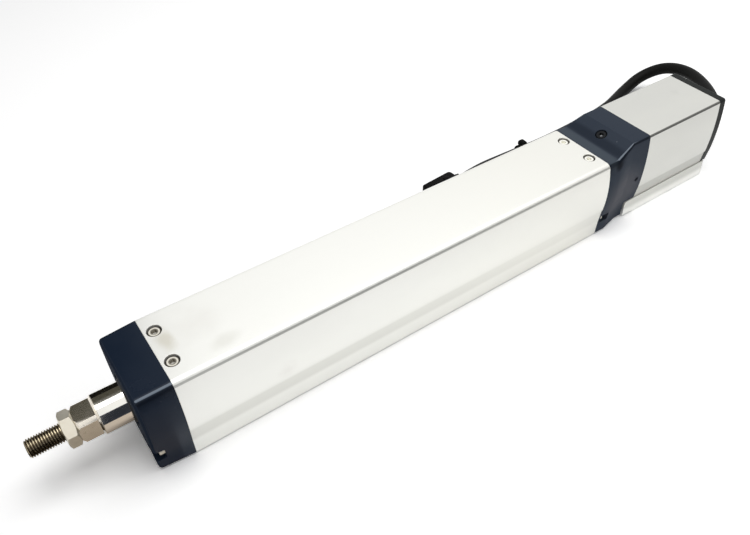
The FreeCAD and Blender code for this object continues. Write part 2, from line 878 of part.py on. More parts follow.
def rod_set_screw_starts():
    x = (rod_rear + carrier_front) / 2
    reach = (rod_radius + rod_bore / 2) / 2
    return [(Vector(x, 0, axis_height + side * reach), Vector(0, 0, side)) for side in (1, -1)]


def make_rod_set_screws():
    length = cavity_height / 2 - free_gap - rod_screw_recess - (rod_radius + rod_bore / 2) / 2
    return group([set_screw(hub_screw_size, start, start + outward * length)
                  for start, outward in rod_set_screw_starts()])


def make_rod_end():
    flats = box(flats_rear, flats_front, -flats_across / 2, flats_across / 2,
                axis_height - flats_across / 2, axis_height + flats_across / 2)
    flats = flats.common(turned([(flats_rear, 0.0), (flats_rear, flats_diameter / 2),
                                 (flats_front - flats_chamfer, flats_diameter / 2),
                                 (flats_front, flats_diameter / 2 - flats_chamfer), (flats_front, 0.0)]))
    plug_rear = rod_shoulder - rod_plug_length
    plug_radius = rod_bore / 2 - fit_gap
    shoulder = turned([(plug_rear, 0.0), (plug_rear, plug_radius), (rod_shoulder, plug_radius),
                       (rod_shoulder, rod_radius), (flats_rear, flats_diameter / 2), (flats_rear, 0.0)])
    stud = turned([(flats_front, 0.0), (flats_front, thread_pitch_radius),
                   (lock_nut_front, thread_pitch_radius), (lock_nut_front, thread_radius),
                   (rod_tip - thread_chamfer, thread_radius),
                   (rod_tip, thread_radius - thread_chamfer), (rod_tip, 0.0)])
    return joined([shoulder, flats, stud])


def make_rod_lock_nut():
    corner = lock_nut_across / math.sqrt(3)
    edge = lock_nut_across / 2 - lock_nut_edge
    drop = (corner - edge) * math.tan(math.radians(30))
    blank = placed(hexagon(lock_nut_thickness, lock_nut_across), Vector(flats_front, 0, axis_height), along)
    blank.rotate(Vector(0, 0, axis_height), along, lock_nut_turn)
    envelope = turned([(flats_front, 0.0), (flats_front, edge), (flats_front + drop, corner),
                       (lock_nut_front - drop, corner), (lock_nut_front, edge), (lock_nut_front, 0.0)])
    return blank.common(envelope).cut(cylinder(flats_front, lock_nut_front, thread_pitch_radius + fit_gap))


def nut_screw_seats():
    turn = math.radians(nut_screw_turn)
    out = nut_screw_circle / 2 * math.cos(turn)
    up = nut_screw_circle / 2 * math.sin(turn)
    x = nut_rear + small_screw_size + head_recess / 2
    return [Vector(x, y, axis_height + z) for y in (-out, out) for z in (-up, up)]


def make_ball_nut():
    half = cavity_height / 2 - nut_flat_margin
    flange = cylinder(nut_rear, carrier_rear, nut_flange_diameter / 2).common(
        box(nut_rear, carrier_rear, -nut_flange_diameter, nut_flange_diameter,
            axis_height - half, axis_height + half))
    body = cylinder(carrier_rear, nut_front, nut_diameter / 2)
    cuts = [cylinder(nut_rear, nut_front, screw_radius + run_gap)]
    for seat in nut_screw_seats():
        cuts.append(screw_hole(small_screw_size, nut_flange_thickness, seat, -along,
                               nut_flange_thickness, screw_gap))
    return joined([flange, body]).cut(cuts)


def make_nut_carrier():
    block = rounded_bar(carrier_rear, carrier_front, cavity_width - 2 * free_gap,
                        cavity_height - 2 * free_gap, cavity_radius - free_gap)
    cuts = [cylinder(carrier_rear, nut_front + stop_gap, nut_diameter / 2 + fit_gap),
            cylinder(carrier_rear, carrier_front, screw_radius + carrier_bore_gap),
            cylinder(rod_rear, carrier_front, rod_radius + fit_gap)]
    for seat in nut_screw_seats():
        cuts.append(screw_hole(small_screw_size, nut_screw_length + drill_extra, seat, -along,
                               screw_gap, fit_gap))
    for start, outward in rod_set_screw_starts():
        cuts.append(placed(Part.makeCylinder(hub_screw_size / 2 + fit_gap, cavity_height), start, outward))
    cuts.extend(guide_pad_blocks(2 * free_gap, fit_gap))
    return block.cut(cuts)


def guide_pad_blocks(extra, gap):
    outer = cavity_width / 2 - slide_gap
    pads = []
    for side in (1, -1):
        near = side * (outer - pad_thickness)
        far = side * (outer + extra)
        for x in (carrier_rear + pad_inset, carrier_front - pad_inset - pad_length):
            pads.append(box(x - gap, x + pad_length + gap, min(near, far), max(near, far),
                            axis_height - pad_height / 2 - gap, axis_height + pad_height / 2 + gap))
    return pads


# Screw, coupling and rotor turn together

def make_screw_shaft():
    journal = bearing_bore / 2
    tip = tip_journal_diameter / 2
    bush_front = screw_tip + tip_bush_length
    clip_front = bush_front + tip_clip_thickness
    neck = tip - tip_groove_depth
    return turned([(spider_front + jaw_gap, 0.0), (spider_front + jaw_gap, coupling_journal / 2),
                   (screw_nut_rear, coupling_journal / 2), (screw_nut_rear, journal), (bearing_front, journal),
                   (bearing_front, screw_radius), (screw_tip, screw_radius), (screw_tip, tip), (bush_front, tip),
                   (bush_front, neck), (clip_front, neck), (clip_front, tip),
                   (clip_front + tip_end_length, tip - tip_chamfer), (clip_front + tip_end_length, 0.0)])


def make_screw_tip_bush():
    return ring(screw_tip, screw_tip + tip_bush_length, rod_bore / 2 - run_gap,
                tip_journal_diameter / 2 + fit_gap)


def make_tip_clip():
    rear = screw_tip + tip_bush_length
    neck = tip_journal_diameter / 2 - tip_groove_depth
    clip = ring(rear, rear + tip_clip_thickness, rod_bore / 2 - tip_clip_gap, neck + fit_gap)
    mouth = box(rear, rear + tip_clip_thickness, -neck, neck, axis_height, axis_height + rod_bore)
    return clip.cut(mouth)


def make_bearing_lock_nut():
    nut = ring(screw_nut_rear, bearing_rear, screw_nut_diameter / 2, bearing_bore / 2 + fit_gap)
    return nut.cut(spanner_slots(screw_nut_rear, bearing_rear, screw_nut_diameter / 2))


def make_hub(rear, front, bore, jaw_rear, jaw_front, first_jaw, screw_place, screw_way):
    hub = ring(rear, front, hub_diameter / 2, bore / 2 + fit_gap)
    step = 360.0 / jaw_count
    jaws = [sector(jaw_rear, jaw_front, spider_ring / 2 + fit_gap, hub_diameter / 2,
                   first_jaw + step * i, jaw_angle)
            for i in range(jaw_count)]
    start = Vector(screw_place, 0, axis_height)
    hole = placed(Part.makeCylinder(hub_screw_size / 2 + fit_gap, hub_diameter), start, screw_way)
    return joined([hub] + jaws).cut(hole)


def make_screw_hub():
    return make_hub(spider_front, screw_hub_front, coupling_journal, spider_rear + jaw_gap, spider_front,
                    0.0, screw_hub_middle, upward)


def make_motor_hub():
    return make_hub(motor_hub_rear, spider_rear, motor_shaft_diameter, spider_rear, spider_front - jaw_gap,
                    180.0 / jaw_count, access_hole_place, Vector(0, 1, 0))


def make_hub_set_screws():
    reach = hub_diameter / 2 - hub_screw_recess
    screw_middle = Vector(screw_hub_middle, 0, axis_height)
    motor_middle = Vector(access_hole_place, 0, axis_height)
    sideways = Vector(0, 1, 0)
    return group([
        set_screw(hub_screw_size, screw_middle + upward * (coupling_journal / 2 + seam_gap),
                  screw_middle + upward * reach),
        set_screw(hub_screw_size, motor_middle + sideways * (motor_shaft_diameter / 2 + seam_gap),
                  motor_middle + sideways * reach)])


def make_coupling_spider():
    rear = spider_rear + fit_gap
    front = spider_front - fit_gap
    step = 180.0 / jaw_count
    legs = [sector(rear, front, spider_bore / 2, hub_diameter / 2 - spider_recess, step * (i + 0.5), leg_angle)
            for i in range(2 * jaw_count)]
    return joined([ring(rear, front, spider_ring / 2, spider_bore / 2)] + legs)


def make_motor_shaft():
    return cylinder(shaft_rear, spider_rear - jaw_gap, motor_shaft_diameter / 2)


def make_motor_rotor():
    return ring(stator_rear + rotor_end_gap, stator_front - rotor_end_gap, rotor_diameter / 2,
                motor_shaft_diameter / 2 + fit_gap)


# Cable and what is on it

def make_cable_gland():
    rear = end_cap_rear - gland_flange_thickness
    return turned([(cover_rear + gland_inner_thickness, 0.0),
                   (cover_rear + gland_inner_thickness, gland_neck_radius + gland_inner_lip),
                   (cover_rear, gland_neck_radius + gland_inner_lip),
                   (cover_rear, gland_neck_radius), (end_cap_rear, gland_neck_radius),
                   (end_cap_rear, gland_flange_radius), (rear, gland_flange_radius), (rear, gland_base_radius),
                   (rear - gland_length, gland_tip_radius), (rear - gland_length, 0.0)],
                  cable_exit.y, cable_exit.z)


def cord_edges(points):
    edges = []
    start = points[0]
    for before, corner, after in zip(points, points[1:], points[2:]):
        inward = (corner - before).normalize()
        outward = (after - corner).normalize()
        turn = inward.getAngle(outward)
        reach = 0.45 * min(before.distanceToPoint(corner), corner.distanceToPoint(after))
        radius = reach / math.tan(turn / 2)
        print("cable bend", round(radius, 1), "mm over", round(math.degrees(turn), 1), "degrees")
        arc_start = corner - inward * reach
        arc_end = corner + outward * reach
        half_way = (outward - inward).normalize()
        arc_middle = corner + half_way * (radius / math.cos(turn / 2) - radius)
        edges.append(Part.LineSegment(start, arc_start).toShape())
        edges.append(Part.Arc(arc_start, arc_middle, arc_end).toShape())
        start = arc_end
    edges.append(Part.LineSegment(start, points[-1]).toShape())
    return edges


def make_motor_cable():
    path = Part.Wire(cord_edges(cable_route))
    outline = Part.Wire(Part.makeCircle(cable_diameter / 2, cable_route[0], cable_route[1] - cable_route[0]))
    tube = path.makePipeShell([outline], True, False)
    share = tube.Volume / (math.pi * cable_diameter ** 2 / 4 * path.Length)
    print("cable length", round(path.Length, 1), "mm, volume share", round(share, 4))
    return tube


def connector_frame(shape):
    way = (cable_route[-1] - cable_route[-2]).normalize()
    shape.rotate(Vector(0, 0, 0), upward, math.degrees(math.atan2(way.y, way.x)))
    shape.translate(connector_back)
    return shape


def make_cable_connector():
    half_width = connector_width / 2
    half_height = connector_height / 2
    shell = box(connector_boot, connector_length, -half_width, half_width, -half_height, half_height)
    shell = shell.makeFillet(connector_edge, edges_along_x(shell))
    boot = Part.makeLoft([connector_outline(0.0, boot_back_share),
                          connector_outline(connector_boot, boot_front_share)], True, True)
    latch = box(connector_boot, connector_boot + latch_length, -latch_width / 2, latch_width / 2,
                half_height, half_height + latch_height)
    ramps = [edge for edge in latch.Edges
             if edge.BoundBox.ZMin > half_height and edge.BoundBox.XLength < latch_ramp]
    latch = latch.makeChamfer(latch_ramp, ramps)
    mouth = box(connector_length - connector_mouth_depth, connector_length, connector_mouth_wall - half_width,
                half_width - connector_mouth_wall, connector_mouth_wall - half_height,
                half_height - connector_mouth_wall)
    return connector_frame(joined([shell, boot, latch]).cut(mouth))


def connector_outline(x, share):
    half_width = share * connector_width / 2
    half_height = share * connector_height / 2
    corners = [Vector(x, -half_width, -half_height), Vector(x, half_width, -half_height),
               Vector(x, half_width, half_height), Vector(x, -half_width, half_height)]
    return Part.makePolygon(corners + corners[:1])


def tie_middle():
    place = end_cap_rear + tie_place
    for before, after in zip(cable_route, cable_route[1:]):
        if before.x <= place <= after.x:
            share = (place - before.x) / (after.x - before.x)
            return before + (after - before) * share, (after - before).normalize()


def make_cable_tie():
    middle, way = tie_middle()
    inner = cable_diameter / 2 + seam_gap
    outer = inner + tie_thickness
    strap = Part.makeCylinder(outer, tie_width, Vector(-tie_width / 2, 0, 0), along)
    strap = strap.cut(Part.makeCylinder(inner, tie_width, Vector(-tie_width / 2, 0, 0), along))
    head = box(-tie_head_width / 2, tie_head_width / 2, -tie_head_length / 2, tie_head_length / 2,
               inner + tie_thickness / 2, inner + tie_thickness / 2 + tie_head_height)
    tail = box(-tie_width / 2, tie_width / 2, tie_head_length / 2, tie_head_length / 2 + tie_tail_length,
               inner + tie_thickness, inner + 2 * tie_thickness)
    bore = Part.makeCylinder(inner, tie_head_width, Vector(-tie_head_width / 2, 0, 0), along)
    tie = joined([strap, head.cut(bore), tail])
    tie.rotate(Vector(0, 0, 0), upward, math.degrees(math.atan2(way.y, way.x)))
    tie.translate(middle)
    return tie


screw_bearing = ([bearing_rear + bearing_width * i for i in range(bearing_count)],
                 bearing_bore, bearing_outside, bearing_width)
motor_bearing = ([front - motor_bearing_inset - motor_bearing_width for front in (housing_rear, stator_rear)],
                 motor_shaft_diameter, motor_bearing_outside, motor_bearing_width)

nodes = {
    "body_extrusion": make_body_extrusion(),
    "front_bracket": make_front_bracket(),
    "front_top_screws": group([socket_screw(large_screw_size, top_screw_length, seat, upward)
                               for seat in front_top_seats]),
    "front_lower_screws": group([socket_screw(small_screw_size, front_lower_length, seat, along)
                                 for seat in front_lower_seats]),
    "rod_bush": make_rod_bush(),
    "rod_wiper": make_rod_wiper(),
    "front_bumper": make_bumper(front_bumper_face),
    "rear_bumper": make_bumper(block_front),
    "bearing_block": make_bearing_block(),
    "rear_top_screws": group([socket_screw(large_screw_size, top_screw_length, seat, upward)
                              for seat in rear_top_seats]),
    "screw_bearing_outer_rings": outer_rings(*screw_bearing),
    "bearing_retainer": make_bearing_retainer(),
    "coupling_housing": make_coupling_housing(),
    "housing_lower_screws": group([socket_screw(small_screw_size, housing_lower_length, seat, -along)
                                   for seat in housing_lower_seats]),
    "access_plug": socket_screw(large_screw_size, plug_length, plug_seat(), plug_outward()),
    "motor_front_flange": make_motor_front_flange(),
    "motor_stator": make_motor_stator(),
    "motor_windings": make_motor_windings(),
    "motor_rear_flange": make_motor_rear_flange(),
    "motor_screws": make_motor_screws(),
    "motor_bearing_outer_rings": outer_rings(*motor_bearing),
    "encoder_cover": make_encoder_cover(),
    "encoder_board": make_encoder_board(),
    "motor_cover": make_motor_cover(),
    "motor_base_rail": make_motor_base_rail(),
    "rail_screws": group([countersunk_screw(small_screw_size, rail_screw_length, mouth, upward)
                          for mouth in rail_screw_mouths()]),
    "motor_end_cap": make_motor_end_cap(),
    "end_cap_screws": group([socket_screw(small_screw_size, end_cap_screw_length, seat, -along)
                             for seat in end_cap_seats()]),
    "cable_gland": make_cable_gland(),
    "motor_cable": make_motor_cable(),
    "cable_connector": make_cable_connector(),
    "cable_tie": make_cable_tie(),
    "rod_tube": make_rod_tube(),
    "rod_end": make_rod_end(),
    "rod_lock_nut": make_rod_lock_nut(),
    "ball_nut": make_ball_nut(),
    "ball_nut_screws": group([socket_screw(small_screw_size, nut_screw_length, seat, -along)
                              for seat in nut_screw_seats()]),
    "nut_carrier": make_nut_carrier(),
    "guide_pads": group(guide_pad_blocks(0.0, 0.0)),
    "rod_set_screws": make_rod_set_screws(),
    "screw_shaft": make_screw_shaft(),
    "screw_tip_bush": make_screw_tip_bush(),
    "tip_clip": make_tip_clip(),
    "screw_bearing_inner_rings": inner_rings(*screw_bearing),
    "bearing_lock_nut": make_bearing_lock_nut(),
    "screw_hub": make_screw_hub(),
    "coupling_spider": make_coupling_spider(),
    "motor_hub": make_motor_hub(),
    "hub_set_screws": make_hub_set_screws(),
    "motor_shaft": make_motor_shaft(),
    "motor_rotor": make_motor_rotor(),
    "motor_bearing_inner_rings": inner_rings(*motor_bearing),
    "encoder_disc": make_encoder_disc(),
}

os.makedirs("parts", exist_ok=True)
for name, shape in nodes.items():
    shape.exportStep("parts/" + name + ".step")
print("stroke", round(stroke, 3), "mm, pieces", len(nodes))
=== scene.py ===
import math

import bmesh
import bpy
from mathutils import Matrix, Vector


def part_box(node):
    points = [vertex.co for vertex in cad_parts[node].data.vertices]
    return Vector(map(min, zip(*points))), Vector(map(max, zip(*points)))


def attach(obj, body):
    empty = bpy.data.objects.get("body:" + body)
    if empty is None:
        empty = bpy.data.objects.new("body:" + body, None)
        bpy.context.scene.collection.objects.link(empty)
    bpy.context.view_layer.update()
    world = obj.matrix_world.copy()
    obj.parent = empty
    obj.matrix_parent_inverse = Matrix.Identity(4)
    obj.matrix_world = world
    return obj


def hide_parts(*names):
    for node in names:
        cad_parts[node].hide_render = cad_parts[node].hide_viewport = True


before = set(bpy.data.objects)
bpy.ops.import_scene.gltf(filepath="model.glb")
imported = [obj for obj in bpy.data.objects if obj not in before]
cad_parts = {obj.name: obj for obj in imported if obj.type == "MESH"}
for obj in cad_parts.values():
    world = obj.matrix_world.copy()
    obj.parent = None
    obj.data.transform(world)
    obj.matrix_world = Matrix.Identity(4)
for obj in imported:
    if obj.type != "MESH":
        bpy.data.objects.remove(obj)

# Electric rod actuator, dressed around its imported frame. Sizes in the dictionaries are millimetres.
mm = 0.001
scene = bpy.context.scene
scene.view_settings.view_transform = "Standard"
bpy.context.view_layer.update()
axisZ = (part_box("rod_tube")[0].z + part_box("rod_tube")[1].z) / 2
print("frame loaded:", len(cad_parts), "nodes")

# where the photograph was taken from
viewpoint = {"place": (0.1853, 0.2385, 0.3268), "aim": (0.00255, -0.02399, 0.01026), "lens": 33.57}


# the turn that points a camera or lamp from its place to its aim
def aimed(view):
    return (Vector(view["aim"]) - Vector(view["place"])).to_track_quat("-Z", "Y").to_euler()


def makeCamera():
    data = bpy.data.cameras.new("photoCamera")
    data.sensor_fit = "HORIZONTAL"
    data.sensor_width = 36.0
    data.lens = viewpoint["lens"]
    data.clip_start = 0.01
    camera = bpy.data.objects.new("photoCamera", data)
    scene.collection.objects.link(camera)
    camera.location = viewpoint["place"]
    camera.rotation_euler = aimed(viewpoint)
    scene.camera = camera


makeCamera()


# colours are written as they look on screen, 0 to 255
def onScreen(red, green, blue):
    def linear(level):
        share = level / 255.0
        return share / 12.92 if share <= 0.04045 else ((share + 0.055) / 1.055) ** 2.4

    return (linear(red), linear(green), linear(blue), 1.0)


def feed(tree, socket, source):
    if isinstance(source, bpy.types.NodeSocket):
        tree.links.new(source, socket)
    else:
        socket.default_value = source


# a node with its settings, and with a value or another node's output for each input
def newNode(tree, kind, settings=None, values=None):
    node = tree.nodes.new(kind)
    for name, value in (settings or {}).items():
        setattr(node, name, value)
    for name, value in (values or {}).items():
        feed(tree, node.inputs[name], value)
    return node


def maths(tree, operation, *values):
    return newNode(tree, "ShaderNodeMath", {"operation": operation}, dict(enumerate(values))).outputs[0]


def vectors(tree, operation, *values):
    node = newNode(tree, "ShaderNodeVectorMath", {"operation": operation}, dict(enumerate(values)))
    single = operation in ("DOT_PRODUCT", "LENGTH", "DISTANCE")
    return node.outputs["Value" if single else "Vector"]


def remap(tree, value, limits, kind="LINEAR"):
    node = newNode(tree, "ShaderNodeMapRange", {"interpolation_type": kind}, dict(limits, Value=value))
    return node.outputs["Result"]


# a Mix node's colours are its inputs 6 and 7 and its output 2
def mixColours(tree, factor, first, second):
    return newNode(tree, "ShaderNodeMix", {"data_type": "RGBA"}, {0: factor, 6: first, 7: second}).outputs[2]


def objectPlace(tree):
    return newNode(tree, "ShaderNodeTexCoord").outputs["Object"]


# shared effects, each a node group that puts out masks or normals
socketKinds = {float: "NodeSocketFloat", tuple: "NodeSocketVector"}


def newGroup(name, inputs, outputs):
    group = bpy.data.node_groups.new(name, "ShaderNodeTree")
    for label, value in inputs.items():
        socket = group.interface.new_socket(label, in_out="INPUT", socket_type=socketKinds[type(value)])
        socket.default_value = value
    for label, kind in outputs.items():
        group.interface.new_socket(label, in_out="OUTPUT", socket_type=socketKinds[kind])
    return group, group.nodes.new("NodeGroupInput").outputs, group.nodes.new("NodeGroupOutput").inputs


def makeMottle():
    group, given, result = newGroup(
        "mottle", {"Scale": 60.0, "Stretch": (1.0, 1.0, 1.0), "Low": 0.35, "High": 0.65}, {"Mask": float})
    place = vectors(group, "MULTIPLY", objectPlace(group), given["Stretch"])
    noise = newNode(group, "ShaderNodeTexNoise", None,
                    {"Vector": place, "Scale": given["Scale"], "Detail": 5.0, "Roughness": 0.55})
    mask = remap(group, noise.outputs["Fac"], {"From Min": given["Low"], "From Max": given["High"]})
    feed(group, result["Mask"], mask)
    return group


# fine broken lines, on the borders of turned and stretched cells
def makeScratches():
    group, given, result = newGroup(
        "scratches", {"Scale": 120.0, "Stretch": (1.0, 1.0, 1.0), "Width": 0.02, "Broken": 0.55},
        {"Mask": float})
    place = objectPlace(group)
    turned = newNode(group, "ShaderNodeMapping", None, {"Vector": place, "Rotation": (0.4, 0.7, 0.3)})
    stretched = vectors(group, "MULTIPLY", turned.outputs["Vector"], given["Stretch"])
    cells = newNode(group, "ShaderNodeTexVoronoi", {"feature": "DISTANCE_TO_EDGE"},
                    {"Vector": stretched, "Scale": given["Scale"]})
    line = remap(group, cells.outputs["Distance"],
                 {"From Max": given["Width"], "To Min": 1.0, "To Max": 0.0})
    gaps = newNode(group, "ShaderNodeTexNoise", None,
                   {"Vector": place, "Scale": given["Scale"], "Detail": 2.0})
    kept = maths(group, "GREATER_THAN", gaps.outputs["Fac"], given["Broken"])
    feed(group, result["Mask"], maths(group, "MULTIPLY", line, kept))
    return group


# rounds the look of sharp edges, and finds them for wear
def makeEdges():
    group, given, result = newGroup("edges", {"Radius": 0.0003}, {"Mask": float, "Normal": tuple})
    rounded = newNode(group, "ShaderNodeBevel", {"samples": 6}, {"Radius": given["Radius"]}).outputs["Normal"]
    surface = newNode(group, "ShaderNodeNewGeometry").outputs["Normal"]
    agree = vectors(group, "DOT_PRODUCT", rounded, surface)
    feed(group, result["Mask"], remap(group, agree, {"From Min": 0.985, "From Max": 0.86}))
    feed(group, result["Normal"], rounded)
    return group


# a soft-edged patch round a point, broken up by noise
def makePatch():
    group, given, result = newGroup(
        "patch", {"Centre": (0.0, 0.0, 0.0), "Squeeze": (1.0, 1.0, 1.0), "Radius": 0.01, "Ragged": 0.4,
                  "Scale": 150.0}, {"Mask": float})
    place = objectPlace(group)
    away = vectors(group, "SUBTRACT", place, given["Centre"])
    squeezed = vectors(group, "MULTIPLY", away, given["Squeeze"])
    share = maths(group, "DIVIDE", vectors(group, "LENGTH", squeezed), given["Radius"])
    noise = newNode(group, "ShaderNodeTexNoise", None,
                    {"Vector": place, "Scale": given["Scale"], "Detail": 3.0})
    ragged = maths(group, "MULTIPLY_ADD", noise.outputs["Fac"], given["Ragged"], share)
    fade = {"From Min": 0.35, "From Max": 1.0, "To Min": 1.0, "To Max": 0.0}
    feed(group, result["Mask"], remap(group, ragged, fade, "SMOOTHSTEP"))
    return group


# how far a point lies from the actuator's axis, as a mask between two radii
def makeFromAxis():
    group, given, result = newGroup("fromAxis", {"Inner": 0.004, "Outer": 0.005}, {"Mask": float})
    away = vectors(group, "SUBTRACT", objectPlace(group), (0.0, 0.0, axisZ))
    reach = vectors(group, "LENGTH", vectors(group, "MULTIPLY", away, (0.0, 1.0, 1.0)))
    feed(group, result["Mask"], remap(group, reach, {"From Min": given["Inner"], "From Max": given["Outer"]}))
    return group


# masks distances up to Half from Middle, and fades out over Soft
def maskBand(group, distance, given, result):
    away = maths(group, "ABSOLUTE", maths(group, "SUBTRACT", distance, given["Middle"]))
    past = maths(group, "SUBTRACT", away, given["Half"])
    fade = {"From Max": given["Soft"], "To Min": 1.0, "To Max": 0.0}
    feed(group, result["Mask"], remap(group, past, fade, "SMOOTHSTEP"))


# a belt round the part, between two distances along a direction; the finishes use it to paint shade in bands
def makeBelt():
    group, given, result = newGroup(
        "belt", {"Along": (0.0, 0.0, 1.0), "Middle": 0.017, "Half": 0.0055, "Soft": 0.0015},
        {"Mask": float})
    maskBand(group, vectors(group, "DOT_PRODUCT", objectPlace(group), given["Along"]), given, result)
    return group


# rings round the heads of the top screws, which stand in pairs at both ends of the body; the finishes use
# them to paint shadow and highlights on the heads and counterbores
topScrews = {"headRadius": 3.5 * mm, "nodes": ("front_top_screws", "rear_top_screws")}


def makeRings():
    group, given, result = newGroup(
        "rings", {"Middle": 0.003, "Half": 0.0004, "Soft": 0.0002}, {"Mask": float})
    place = objectPlace(group)
    split = newNode(group, "ShaderNodeSeparateXYZ", None, {0: place})
    folded = newNode(group, "ShaderNodeSeparateXYZ", None, {0: vectors(group, "ABSOLUTE", place)})
    flat = newNode(group, "ShaderNodeCombineXYZ", None,
                   {"X": split.outputs["X"], "Y": folded.outputs["Y"]}).outputs[0]
    reaches = []
    for name in topScrews["nodes"]:
        low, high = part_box(name)
        centre = ((low.x + high.x) / 2, high.y - topScrews["headRadius"], 0.0)
        reaches.append(vectors(group, "DISTANCE", flat, centre))
    maskBand(group, maths(group, "MINIMUM", *reaches), given, result)
    return group


# a line along rounded edges, where the surface faces nearly a given way; the finishes use it to paint
# highlights and dark reflections there
def makeFacing():
    group, given, result = newGroup(
        "facing", {"Toward": (0.0, 0.0, 1.0), "Core": 0.99, "Edge": 0.97}, {"Mask": float})
    surface = newNode(group, "ShaderNodeNewGeometry").outputs["Normal"]
    agree = vectors(group, "DOT_PRODUCT", surface, given["Toward"])
    limits = {"From Min": given["Edge"], "From Max": given["Core"]}
    feed(group, result["Mask"], remap(group, agree, limits, "SMOOTHSTEP"))
    return group


# the way is an angle up from the near side and a lean towards the rod; core and edge are degrees off it
def facingLine(angle, core, edge, lean=0.0):
    turn = math.radians(angle)
    return {"Toward": Vector((lean, math.cos(turn), math.sin(turn))).normalized(),
            "Core": math.cos(math.radians(core)), "Edge": math.cos(math.radians(edge))}


mottle = makeMottle()
scratches = makeScratches()
edges = makeEdges()
patch = makePatch()
fromAxis = makeFromAxis()
belt = makeBelt()
rings = makeRings()
facing = makeFacing()


def placeGroup(tree, group, values):
    return newNode(tree, "ShaderNodeGroup", {"node_tree": group}, values).outputs


# a finish: two colours in soft spots, layers of marks and of painted shade and highlights, a grain that bumps
# the surface, soft edges, and what wear it has
def makeFinish(name, look):
    material = bpy.data.materials.new(name)
    material.use_nodes = True
    tree = material.node_tree
    shader = tree.nodes["Principled BSDF"].inputs
    for socket, value in look["fixed"].items():
        shader[socket].default_value = value
    spots = placeGroup(tree, mottle, look["spots"])["Mask"]
    grain = placeGroup(tree, mottle, look["grain"])["Mask"]
    edge = placeGroup(tree, edges, {"Radius": look["edge"] * mm})
    colour = mixColours(tree, spots, look["colour"], look["tint"])
    smoothest, roughest = look["rough"]
    shine = remap(tree, spots, {"To Min": smoothest, "To Max": roughest})
    # each layer mixes a colour in through a mask; many layers are painted shade, shadow, highlights and
    # reflections
    for layer in look.get("layers", []):
        mask = placeGroup(tree, layer["group"], layer["values"])["Mask"]
        colour = mixColours(tree, maths(tree, "MULTIPLY", mask, layer["amount"]), colour, layer["colour"])
    if "wear" in look:
        worn = maths(tree, "MULTIPLY", grain, look["wear"]["amount"])
        colour = mixColours(tree, maths(tree, "MULTIPLY", edge["Mask"], worn), colour, look["wear"]["colour"])
    # a side that barely shines
    if "dull" in look:
        mask = placeGroup(tree, facing, look["dull"]["values"])["Mask"]
        shine = maths(tree, "MAXIMUM", shine, maths(tree, "MULTIPLY", mask, look["dull"]["rough"]))
    bump = newNode(tree, "ShaderNodeBump", None, {"Strength": 1.0, "Distance": look["depth"] * mm,
                                                  "Height": grain, "Normal": edge["Normal"]})
    feed(tree, shader["Base Color"], colour)
    feed(tree, shader["Roughness"], shine)
    feed(tree, shader["Normal"], bump.outputs["Normal"])
    material.diffuse_color = look["colour"]
    return material


evenSpots = {"Scale": 45.0, "Low": 0.35, "High": 0.68}
turnedLines = {"Scale": 1500.0, "Stretch": (1.0, 0.02, 0.02), "Low": 0.3, "High": 0.7}
drawnLines = {"Scale": 1800.0, "Stretch": (0.004, 1.0, 1.0), "Low": 0.3, "High": 0.7}
castGrain = {"Scale": 900.0, "Low": 0.3, "High": 0.7}
mouldGrain = {"Scale": 2400.0, "Low": 0.3, "High": 0.7}

# anodised skin of the body, with die lines along it and faint hand marks round the front screws; painted
# shade low on the sides, towards the rear and along the bottom edge, painted dark reflections along the top
# edges, and painted shadow in the screw counterbores
bodyLook = {
    "colour": onScreen(249, 249, 244), "tint": onScreen(244, 244, 239), "rough": (0.32, 0.38),
    "spots": {"Scale": 16.0, "Stretch": (0.3, 1.0, 1.0), "Low": 0.35, "High": 0.7},
    "grain": drawnLines, "depth": 0.004, "edge": 0.3,
    "fixed": {"Metallic": 0.55},
    "layers": [
        # painted shade: a darker band along the sides below the crease
        {"group": belt, "amount": 1.0, "colour": onScreen(229, 229, 223),
         "values": {"Middle": 0.0172, "Half": 0.003, "Soft": 0.004}},
        # painted dark reflection: a grey line along the near top edge
        {"group": facing, "amount": 0.45, "colour": onScreen(120, 120, 116),
         "values": facingLine(30.0, 6.0, 13.0)},
        # painted dark reflection: a grey line along the far top edge
        {"group": facing, "amount": 0.8, "colour": onScreen(136, 136, 136),
         "values": facingLine(136.0, 6.0, 13.0)},
        # painted shade: the body darker towards its rear
        {"group": belt, "amount": 0.6, "colour": onScreen(236, 235, 227),
         "values": {"Along": (1.0, 0.0, 0.0), "Middle": -0.15, "Half": 0.0, "Soft": 0.22}},
        # painted shade: a thin dark line along the bottom edge, where the body meets the floor
        {"group": belt, "amount": 0.7, "colour": onScreen(140, 139, 132),
         "values": {"Middle": 0.0, "Half": 0.0003, "Soft": 0.0005}},
        # painted shadow: the screw counterbores darkened round the heads
        {"group": rings, "amount": 0.9, "colour": onScreen(60, 56, 46),
         "values": {"Middle": 0.0, "Half": 0.0037, "Soft": 0.0002}},
        {"group": patch, "amount": 0.6, "colour": onScreen(208, 203, 184),
         "values": {"Centre": (0.1445, -0.0025, 0.0573), "Squeeze": (1.5, 0.8, 1.0), "Radius": 0.0125,
                    "Ragged": 0.5, "Scale": 160.0}},
        {"group": patch, "amount": 0.4, "colour": onScreen(216, 215, 206),
         "values": {"Centre": (0.12, 0.0145, 0.0573), "Squeeze": (0.7, 1.2, 1.0), "Radius": 0.0115,
                    "Ragged": 0.6, "Scale": 90.0}},
        {"group": patch, "amount": 0.22, "colour": onScreen(216, 213, 205),
         "values": {"Centre": (0.128, -0.004, 0.0573), "Squeeze": (0.7, 1.0, 1.0), "Radius": 0.034,
                    "Ragged": 0.9, "Scale": 60.0}},
        {"group": patch, "amount": 0.2, "colour": onScreen(214, 210, 204),
         "values": {"Centre": (0.095, 0.0292, 0.03), "Radius": 0.012, "Ragged": 0.8, "Scale": 190.0}},
    ],
}
